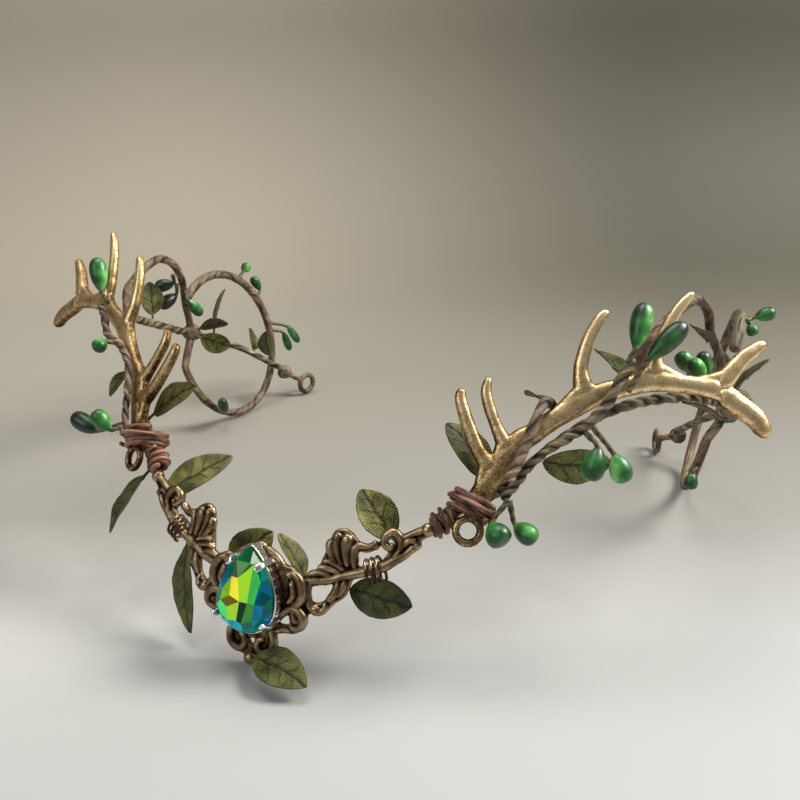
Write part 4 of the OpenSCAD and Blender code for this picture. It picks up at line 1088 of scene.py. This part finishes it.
def binding(side):
    """Two layers of tape round the filigree's end and three round the foot of the antler."""
    form = Form()
    start, way = np.array(VINE[0]), unit(np.array(VINE[1]) - np.array(VINE[0]))
    u = unit(UP - way[2] * way)
    v = np.cross(way, u)
    for k, (pitch, turns, middle, out, r) in enumerate(END_LAYERS):
        seeds = (5 + k + side, 81 + side + 3 * k)
        wound(form, start + middle * way, out * u, out * v, way, turns, pitch, r, *seeds)
    along, out, down = in_antler(unit(FOOT_WAY)), in_antler(np.cross(unit(FOOT_WAY), UP)), in_antler(-UP)
    middle = ANTLER_AT + in_antler(FOOT_MIDDLE)
    for k, (shift, pitch, turns, deep, half, r) in enumerate(FOOT_LAYERS):
        seeds = (15 + 4 * k + side, 91 + side + 3 * k)
        wound(form, middle + shift * along, deep * down, half * out, along, turns, pitch, r, *seeds)
    name = "binding" + SIDE_NAME[side]
    put(form.mesh(name), "binding_wound" + SIDE_NAME[side], name, binding_tape, side)


WIRE_FROM, WIRE_TO = np.array([9.3, 8.9, 0.3]), np.array([12.6, 10.2, 0.3])
WIRE_TURNS, WIRE_HALF, WIRE_DEEP, WIRE_R = 3, 2.35, 2.0, 0.32


def wire(side):
    """Turns of copper wire round the filigree's arm."""
    t = np.linspace(0, WIRE_TURNS, WIRE_TURNS * 24 + 1)[:, None]
    along = WIRE_TO - WIRE_FROM
    out = WIRE_HALF * np.cross(unit(along), UP)
    line = WIRE_FROM + turned(2 * np.pi * t, out, WIRE_DEEP * UP) + t / WIRE_TURNS * along
    line, at = evenly(faced(line, *arm_place(side)), 0.25)
    form = Form()
    relief = 0.5 + 0.4 * noise(line, 2.0, 5).repeat(12)
    sweep(form, line, WIRE_R * round_ends(at, WIRE_R, 0.2), n=12, relief=relief)
    name = "wire" + SIDE_NAME[side]
    put(form.mesh(name), "wire_coil" + SIDE_NAME[side], name, copper, side)


for side in (LEFT, RIGHT):
    binding(side)
    wire(side)


# Leaves and berries

# Line and radius of each stem that carries leaves or berries, as in the CAD
CARRIERS = {}
for side in (LEFT, RIGHT):
    for kind, line, r in (
            ("vine", curve(VINE, 2), 1.8), ("wrap", VINE[:2], 2.825),
            ("branch", curve(BRANCH[side], 2), 1.6), ("winding", curve(WINDING, 2), 1.1),
            ("arch", arch_points(side), 1.5), ("loop", loop_points(side, 23), LOOP_R),
            ("twig", twig_points(side), 1.3),
            ("knot", [KNOT_AT, KNOT_AT + unit(KNOT_AT - VINE[-1])], KNOT_R)):
        CARRIERS[kind + SIDE_NAME[side]] = (np.array(line) * [side, 1, 1], r)


def seat(carrier, near, to):
    """Where a short stem that goes to a place starts, clear of its carrier."""
    near, to, stem_r = np.array(near, float), np.array(to, float), 0.5
    if not carrier:
        return near
    line, carrier_r = CARRIERS[carrier]
    a, d = line[:-1], np.diff(line, axis=0)
    t = np.clip(np.sum((near - a) * d, axis=1) / np.sum(d * d, axis=1), 0, 1)
    on = a + t[:, None] * d
    i = int(np.argmin(np.linalg.norm(near - on, axis=1)))
    way = unit(d[i])
    out = unit((to - on[i]) - ((to - on[i]) @ way) * way)
    slant = np.linalg.norm(np.cross(unit(to - on[i]), out))
    return on[i] + (carrier_r + GAP + stem_r * slant) * out


LEAF_BEND, LEAF_CUP, VEIN_SPACING, RIB_HALF, VEIN_HALF = 0.06, 0.1, 2.9, 0.3, 0.22
# Share of the length where the blade starts, for leaves with no bare stem; below zero the base is blunt
BLADE_FROM = {"leaf_left_1": -0.08, "leaf_right_5": 0.02}
# Name, carrier, place by the carrier, tip, width, roll and the strength of its painted sheen
LEAVES = [
    ("leaf_left_1", "", (-27.2, 18, 26), (-18.5, 26.8, 31.6), 8, -25, 0.38),
    ("leaf_left_2", "", (-22.6, 14.3, 16.6), (-15, 2, 1.5), 7, -50, 0.1),
    ("leaf_left_3", "wrap_left", (-35.5, 19, 28), (-41.5, 10, 15.5), 7, -10, 0.0),
    ("leaf_left_4", "vine_left", (-43.4, 28.7, 34.7), (-31.5, 33, 44.2), 8, -30, 0.15),
    ("leaf_left_5", "vine_left", (-53, 38, 44), (-57.5, 33, 37.5), 6, 0, 0.1),
    ("leaf_left_6", "vine_left", (-80, 80, 40), (-83.5, 83, 51.5), 7, -20, 0.1),
    ("leaf_left_7", "knot_left", (-80, 97, 35), (-71, 103.5, 34.5), 7, 45, 0.4),
    ("leaf_left_8", "twig_left", (-78.5, 106, 28.5), (-77, 111.5, 43), 7, 35, 0.15),
    ("leaf_left_9", "knot_left", (-79, 96, 31), (-71, 104, 26.5), 7, -100, 0.45),
    ("leaf_left_10", "twig_left", (-73.5, 120, 19), (-78.5, 127.5, 25), 6, -60, 0.25),
    ("leaf_left_11", "twig_left", (-71, 124.5, 16), (-69.5, 122.5, 26.5), 6, -50, 0.1),
    ("leaf_gem_left", "", (-9, 9.6, 16), (0, 13, 23.8), 8, -70, 0.6),
    ("leaf_gem_right", "", (9, 9.6, 16.6), (1.2, 13.5, 23.4), 6, -25, 0.7),
    ("leaf_tip", "", (1.6, 0.6, 2), (16, -3, 1.8), 8, -25, 0.25),
    ("leaf_right_1", "", (25.5, 17.9, 25), (16.9, 20, 33.8), 8, 30, 0.9),
    ("leaf_right_2", "", (17.2, 12.5, 15), (31, 14.1, 13.5), 8, -60, 0.05),
    ("leaf_right_3", "vine_right", (43.2, 28.8, 35), (31.2, 31.1, 46.7), 8, 15, 0.4),
    ("leaf_right_4", "winding_right", (51, 38.5, 51), (44, 42.5, 51), 6, -25, 0.1),
    ("leaf_right_5", "vine_right", (50.5, 35.5, 41), (62.8, 42, 39), 8, -95, 0.7),
    ("leaf_right_6", "branch_right", (63.5, 43, 57.5), (55.5, 54.5, 58), 6, -20, 0.0),
    ("leaf_right_7", "vine_right", (73.6, 52.6, 50), (82, 51.8, 48), 6, 20, 0.6),
    ("leaf_right_8", "vine_right", (80.5, 64, 48), (88, 66, 46), 7, -30, 0.0),
    ("leaf_right_9", "vine_right", (81.2, 71, 44), (88.5, 73, 55), 6, 10, 0.1),
    ("leaf_right_10", "arch_right", (75, 88.5, 54.5), (71.8, 80, 58.1), 6, 10, 0.1),
    ("leaf_right_11", "knot_right", (79, 99.5, 35), (76.4, 103, 46.4), 6, 30, 0.3)]


def two_faces(value, shape):
    """A value for each place of the top face and of the under face, whose rows run the other way."""
    value = np.broadcast_to(value, shape)
    return np.concatenate([value, value[:, ::-1]], axis=1)


def leaf(name, carrier, near, tip, width, roll, tone):
    """A cupped satin blade with a pressed midrib and side veins, on a short stem."""
    rows, cols, stem_half = 72, 29, 0.22
    blade_thick, base_thick, stem_thick = 0.17, 0.3, 0.34
    seed = sum(ord(letter) for letter in name)
    tip = np.array(tip, float)
    base = seat(carrier, near, tip)
    length = np.linalg.norm(tip - base)
    d = unit(tip - base)
    level = unit(np.cross(d, UP))
    a = math.radians(roll)
    s = math.cos(a) * level + math.sin(a) * np.cross(level, d)
    n = np.cross(s, d)
    blade_from = BLADE_FROM.get(name, 0.16)
    root = base - (2.2 if blade_from < 0 else 1.3) * d
    # t runs from the root to the tip and q from one edge to the other
    t = np.linspace(0, 1, rows)[:, None]
    q = np.linspace(-1, 1, cols)[None, :]
    away = np.abs(q)
    blade = step_up(t, blade_from, blade_from + 0.06)
    x = np.clip((t - blade_from + 0.02) / (1.02 - blade_from), 1e-4, 1 - 1e-4)
    half = width / 2 * np.sin(np.pi * x ** 0.93) ** 0.64
    half = np.maximum(half * (1 + 0.02 * noise(spots(t * 30), 1.5, seed)), stem_half)
    across, along = q * half, t * length
    # Midrib, side veins that slant forward from it, and the puffs between them
    rib = np.exp(-((across + 0.35 * noise(spots(along), 1.8, seed + 4)) / RIB_HALF) ** 2)
    forward = along - 0.75 * np.abs(across) + 0.35 * noise(spots(across, along), 1.3, seed + 5)
    fork = np.abs((forward / VEIN_SPACING + 0.5 * (q > 0)) % 1.0 - 0.5) * VEIN_SPACING
    side_vein = np.exp(-(fork / VEIN_HALF) ** 2) * step_up(1 - away, 0.1, 0.45)
    side_vein = side_vein * step_up(t, 0.2, 0.3) * step_up(1 - t, 0.05, 0.2)
    puff = np.cos(2 * np.pi * forward / VEIN_SPACING + np.pi * (q > 0))
    puff = puff * (1 - rib) * step_up(1 - away, 0.0, 0.4)
    crumple = noise(spots(across, along), 1.7, seed + 1)
    press = blade * (0.09 * crumple - 0.2 * rib - 0.16 * side_vein - 0.06 * puff)
    wave = 0.3 * noise(spots(np.sign(q), along), 4.0, seed + 2) * away ** 2
    rise = LEAF_CUP * width * q ** 2 * (2 * half / width) ** 2 + LEAF_BEND * length * np.sin(np.pi * t)
    centre = root + t[..., None] * (tip - root)
    surface = centre + across[..., None] * s + (rise + press + blade * wave)[..., None] * n
    thick = np.where(blade > 0.5, blade_thick, base_thick) * (1 - 0.35 * away ** 6)
    thick = np.where(t < blade_from, stem_thick * np.sqrt(np.clip(1 - 0.6 * q ** 2, 0, 1)), thick)
    thick = thick[..., None] * n
    points = np.concatenate([surface + thick, (surface - thick)[:, ::-1]], axis=1)
    rim = 0.5 * step_up(away, 0.93, 1.0)
    vein = np.maximum(np.clip(1.1 * rib + side_vein, 0, 1), rim) * blade + 0.45 * (1 - blade)
    vein, along, across = [two_faces(value, across.shape) for value in (vein, along, across)]
    under = 0.7 * (np.arange(2 * cols) >= cols) + 0 * t
    form = Form()
    faces = grid_faces(rows, 2 * cols)
    form.add(points, faces, vein=vein, along=along, across=across, under=under, tone=tone)
    put(form.mesh(name), name + "_satin", name, satin)


for row in LEAVES:
    leaf(*row)

# Name, carrier and, for each berry, the place by the carrier, neck, far end, radius and tone
BERRIES = [
    ("berries_foot_left", "branch_left", [
        ((-43, 19.5, 37), (-45.2, 18.4, 36.6), (-49, 18.2, 40.6), 2, 0.85),
        ((-43.5, 23, 36), (-53, 22.5, 33.2), (-60.4, 23.2, 35.6), 2.2, 0.34)]),
    ("berries_upper_left", "branch_left", [
        ((-65, 42.4, 56.6), (-67, 44.8, 60), (-69.9, 48, 67.4), 2.2, 0.75),
        ((-54, 33.5, 51.5), (-54.8, 30.8, 52.4), (-54.8, 27.4, 52), 1.75, 0.6)]),
    ("berries_back_left", "arch_left", [
        ((-77, 89.5, 52.5), (-80, 90, 49.8), (-85.2, 87.6, 48.6), 1.9, 0.55),
        ((-78.5, 92, 49.5), (-81, 92, 45.6), (-83.6, 86.6, 42.8), 2, 0.15),
        ((-79.5, 94, 46.5), (-77, 92.2, 44.2), (-76, 96.8, 38.6), 1.7, 0.5)]),
    ("berries_loop_left", "loop_left", [
        ((-79.2, 123.3, 43), (-79, 125.6, 45.4), (-78.4, 128.2, 47.4), 1.6, 0.6),
        ((-76.8, 129.3, 35.8), (-77, 132.4, 37.8), (-78, 129.6, 42.6), 1.6, 0.5)]),
    ("berries_fan_left", "loop_left", [
        ((-73.8, 132, 23), (-71, 136.4, 22), (-70.2, 139, 14.6), 1.4, 0.6),
        ((-74.2, 132, 25.5), (-70.6, 138.8, 23.6), (-68.8, 143, 16.6), 1.4, 0.7)]),
    ("berries_low_left", "loop_left", [
        ((-75.8, 102, 4.5), (-71.8, 99.8, 5), (-70.6, 96.2, 11.2), 1.6, 0.6)]),
    ("berries_foot_right", "branch_right", [
        ((45, 24, 35), (44.6, 20.2, 32.2), (48.2, 18, 29.8), 2.5, 0.4),
        ((45.6, 25.4, 35), (48.4, 24, 30.8), (53.2, 22, 29.8), 2.1, 0.45)]),
    ("berries_hanging_right", "branch_right", [
        ((57.5, 35.6, 48.4), (61.2, 35, 45.2), (60.4, 32.4, 39.1), 2.35, 0.78),
        ((58.6, 36.1, 49.6), (64.1, 36.2, 43.8), (66.8, 35.2, 38.7), 2.2, 0.88)]),
    ("berries_big_right", "branch_right", [
        ((64.6, 43.8, 60.2), (65, 42.8, 63.6), (65.1, 48.6, 71), 2.1, 0.62),
        ((63, 41.2, 57), (67.4, 44.4, 61.2), (72.8, 51, 67.2), 2.1, 0.12)]),
    ("berries_arch_right", "vine_right", [
        ((75.5, 56, 50), (74, 59, 54.6), (71.4, 59.8, 58.4), 1.8, 0.85),
        ((76.5, 58, 49.5), (77, 57.6, 54), (74.2, 56, 58.2), 1.8, 0.75),
        ((78, 60, 49), (77.4, 63.6, 52.6), (75.4, 64.4, 57.6), 1.6, 0.3)]),
    ("berries_top_right", "loop_right", [
        ((80.3, 104, 54), (83.6, 105.2, 54.9), (88, 107, 56.2), 1.75, 0.4),
        ((80.2, 107.4, 54.2), (82.6, 107.6, 52.4), (84, 106.8, 49.6), 1.5, 0.4)]),
    ("berries_low_right", "loop_right", [
        ((75.5, 95.5, 18), (75, 92.4, 16.2), (74.6, 91.5, 12), 1.8, 0.3)])]
# Share along a berry from its neck and share of its radius
BERRY_SHAPE = [
    (0.0, 0.24), (0.06, 0.4), (0.16, 0.62), (0.32, 0.86), (0.5, 0.98), (0.66, 1.0), (0.82, 0.9),
    (0.93, 0.66), (0.985, 0.34), (1.0, 0.06)]


def berry(form, carrier, near, neck, end, r, tone, seed):
    """A faintly pleated berry on a ridged stalk, with painted light on one side of it and painted shade on
    the other, darker towards its far end, and painted highlight on the stalk's ridges.
    """
    neck, end = np.array(neck, float), np.array(end, float)
    base = seat(carrier, near, neck)
    d = unit(end - neck)
    root, bend, top = base - 1.2 * unit(neck - base), (base + 2 * neck) / 3 - 0.15 * d, neck + 0.3 * d
    stalk, at = evenly(curve([(*root, 0.62), (*base, 0.6), (*bend, 0.5), (*top, 0.62)], 6), 0.3)
    count, twist = 12, 1.6
    ridge = 0.12 * np.cos(2 * (2 * np.pi * np.arange(count) / count - at[:, None] * twist))
    # Painted highlight on the stalk's ridges
    sweep(form, stalk[:, :3], stalk[:, 3:] * (1 + ridge), n=count, stalk=1.0, tone=0.5 + 2 * ridge)
    rows = curve([(*(neck + s * (end - neck)), share * r) for s, share in BERRY_SHAPE], 5)
    count, pleats, thinnest = 28, 5, 0.02
    around = 2 * np.pi * np.arange(count) / count
    along = np.linspace(0, 1, len(rows))[:, None]
    pleat = 1 + 0.012 * np.cos(pleats * around) * np.sin(np.pi * along)
    # Painted light on one side and painted shade on the other, darker towards the far end
    tones_and_painted_light = tone + 0.4 * (0.4 - along) + 0.3 * np.cos(around + seed)
    tones_and_painted_light = tones_and_painted_light + 0.16 * noise(rows[:, :3], 1.5, seed + 1)[:, None]
    radii = np.maximum(rows[:, 3:] * pleat, thinnest)
    sweep(form, rows[:, :3], radii, n=count, stalk=0.0, tone=tones_and_painted_light)


for name, carrier, rows in BERRIES:
    form = Form()
    for k, row in enumerate(rows):
        berry(form, carrier, *row, seed=7 * k + len(name))
    put(form.mesh(name), name + "_glossy", name, lacquer)
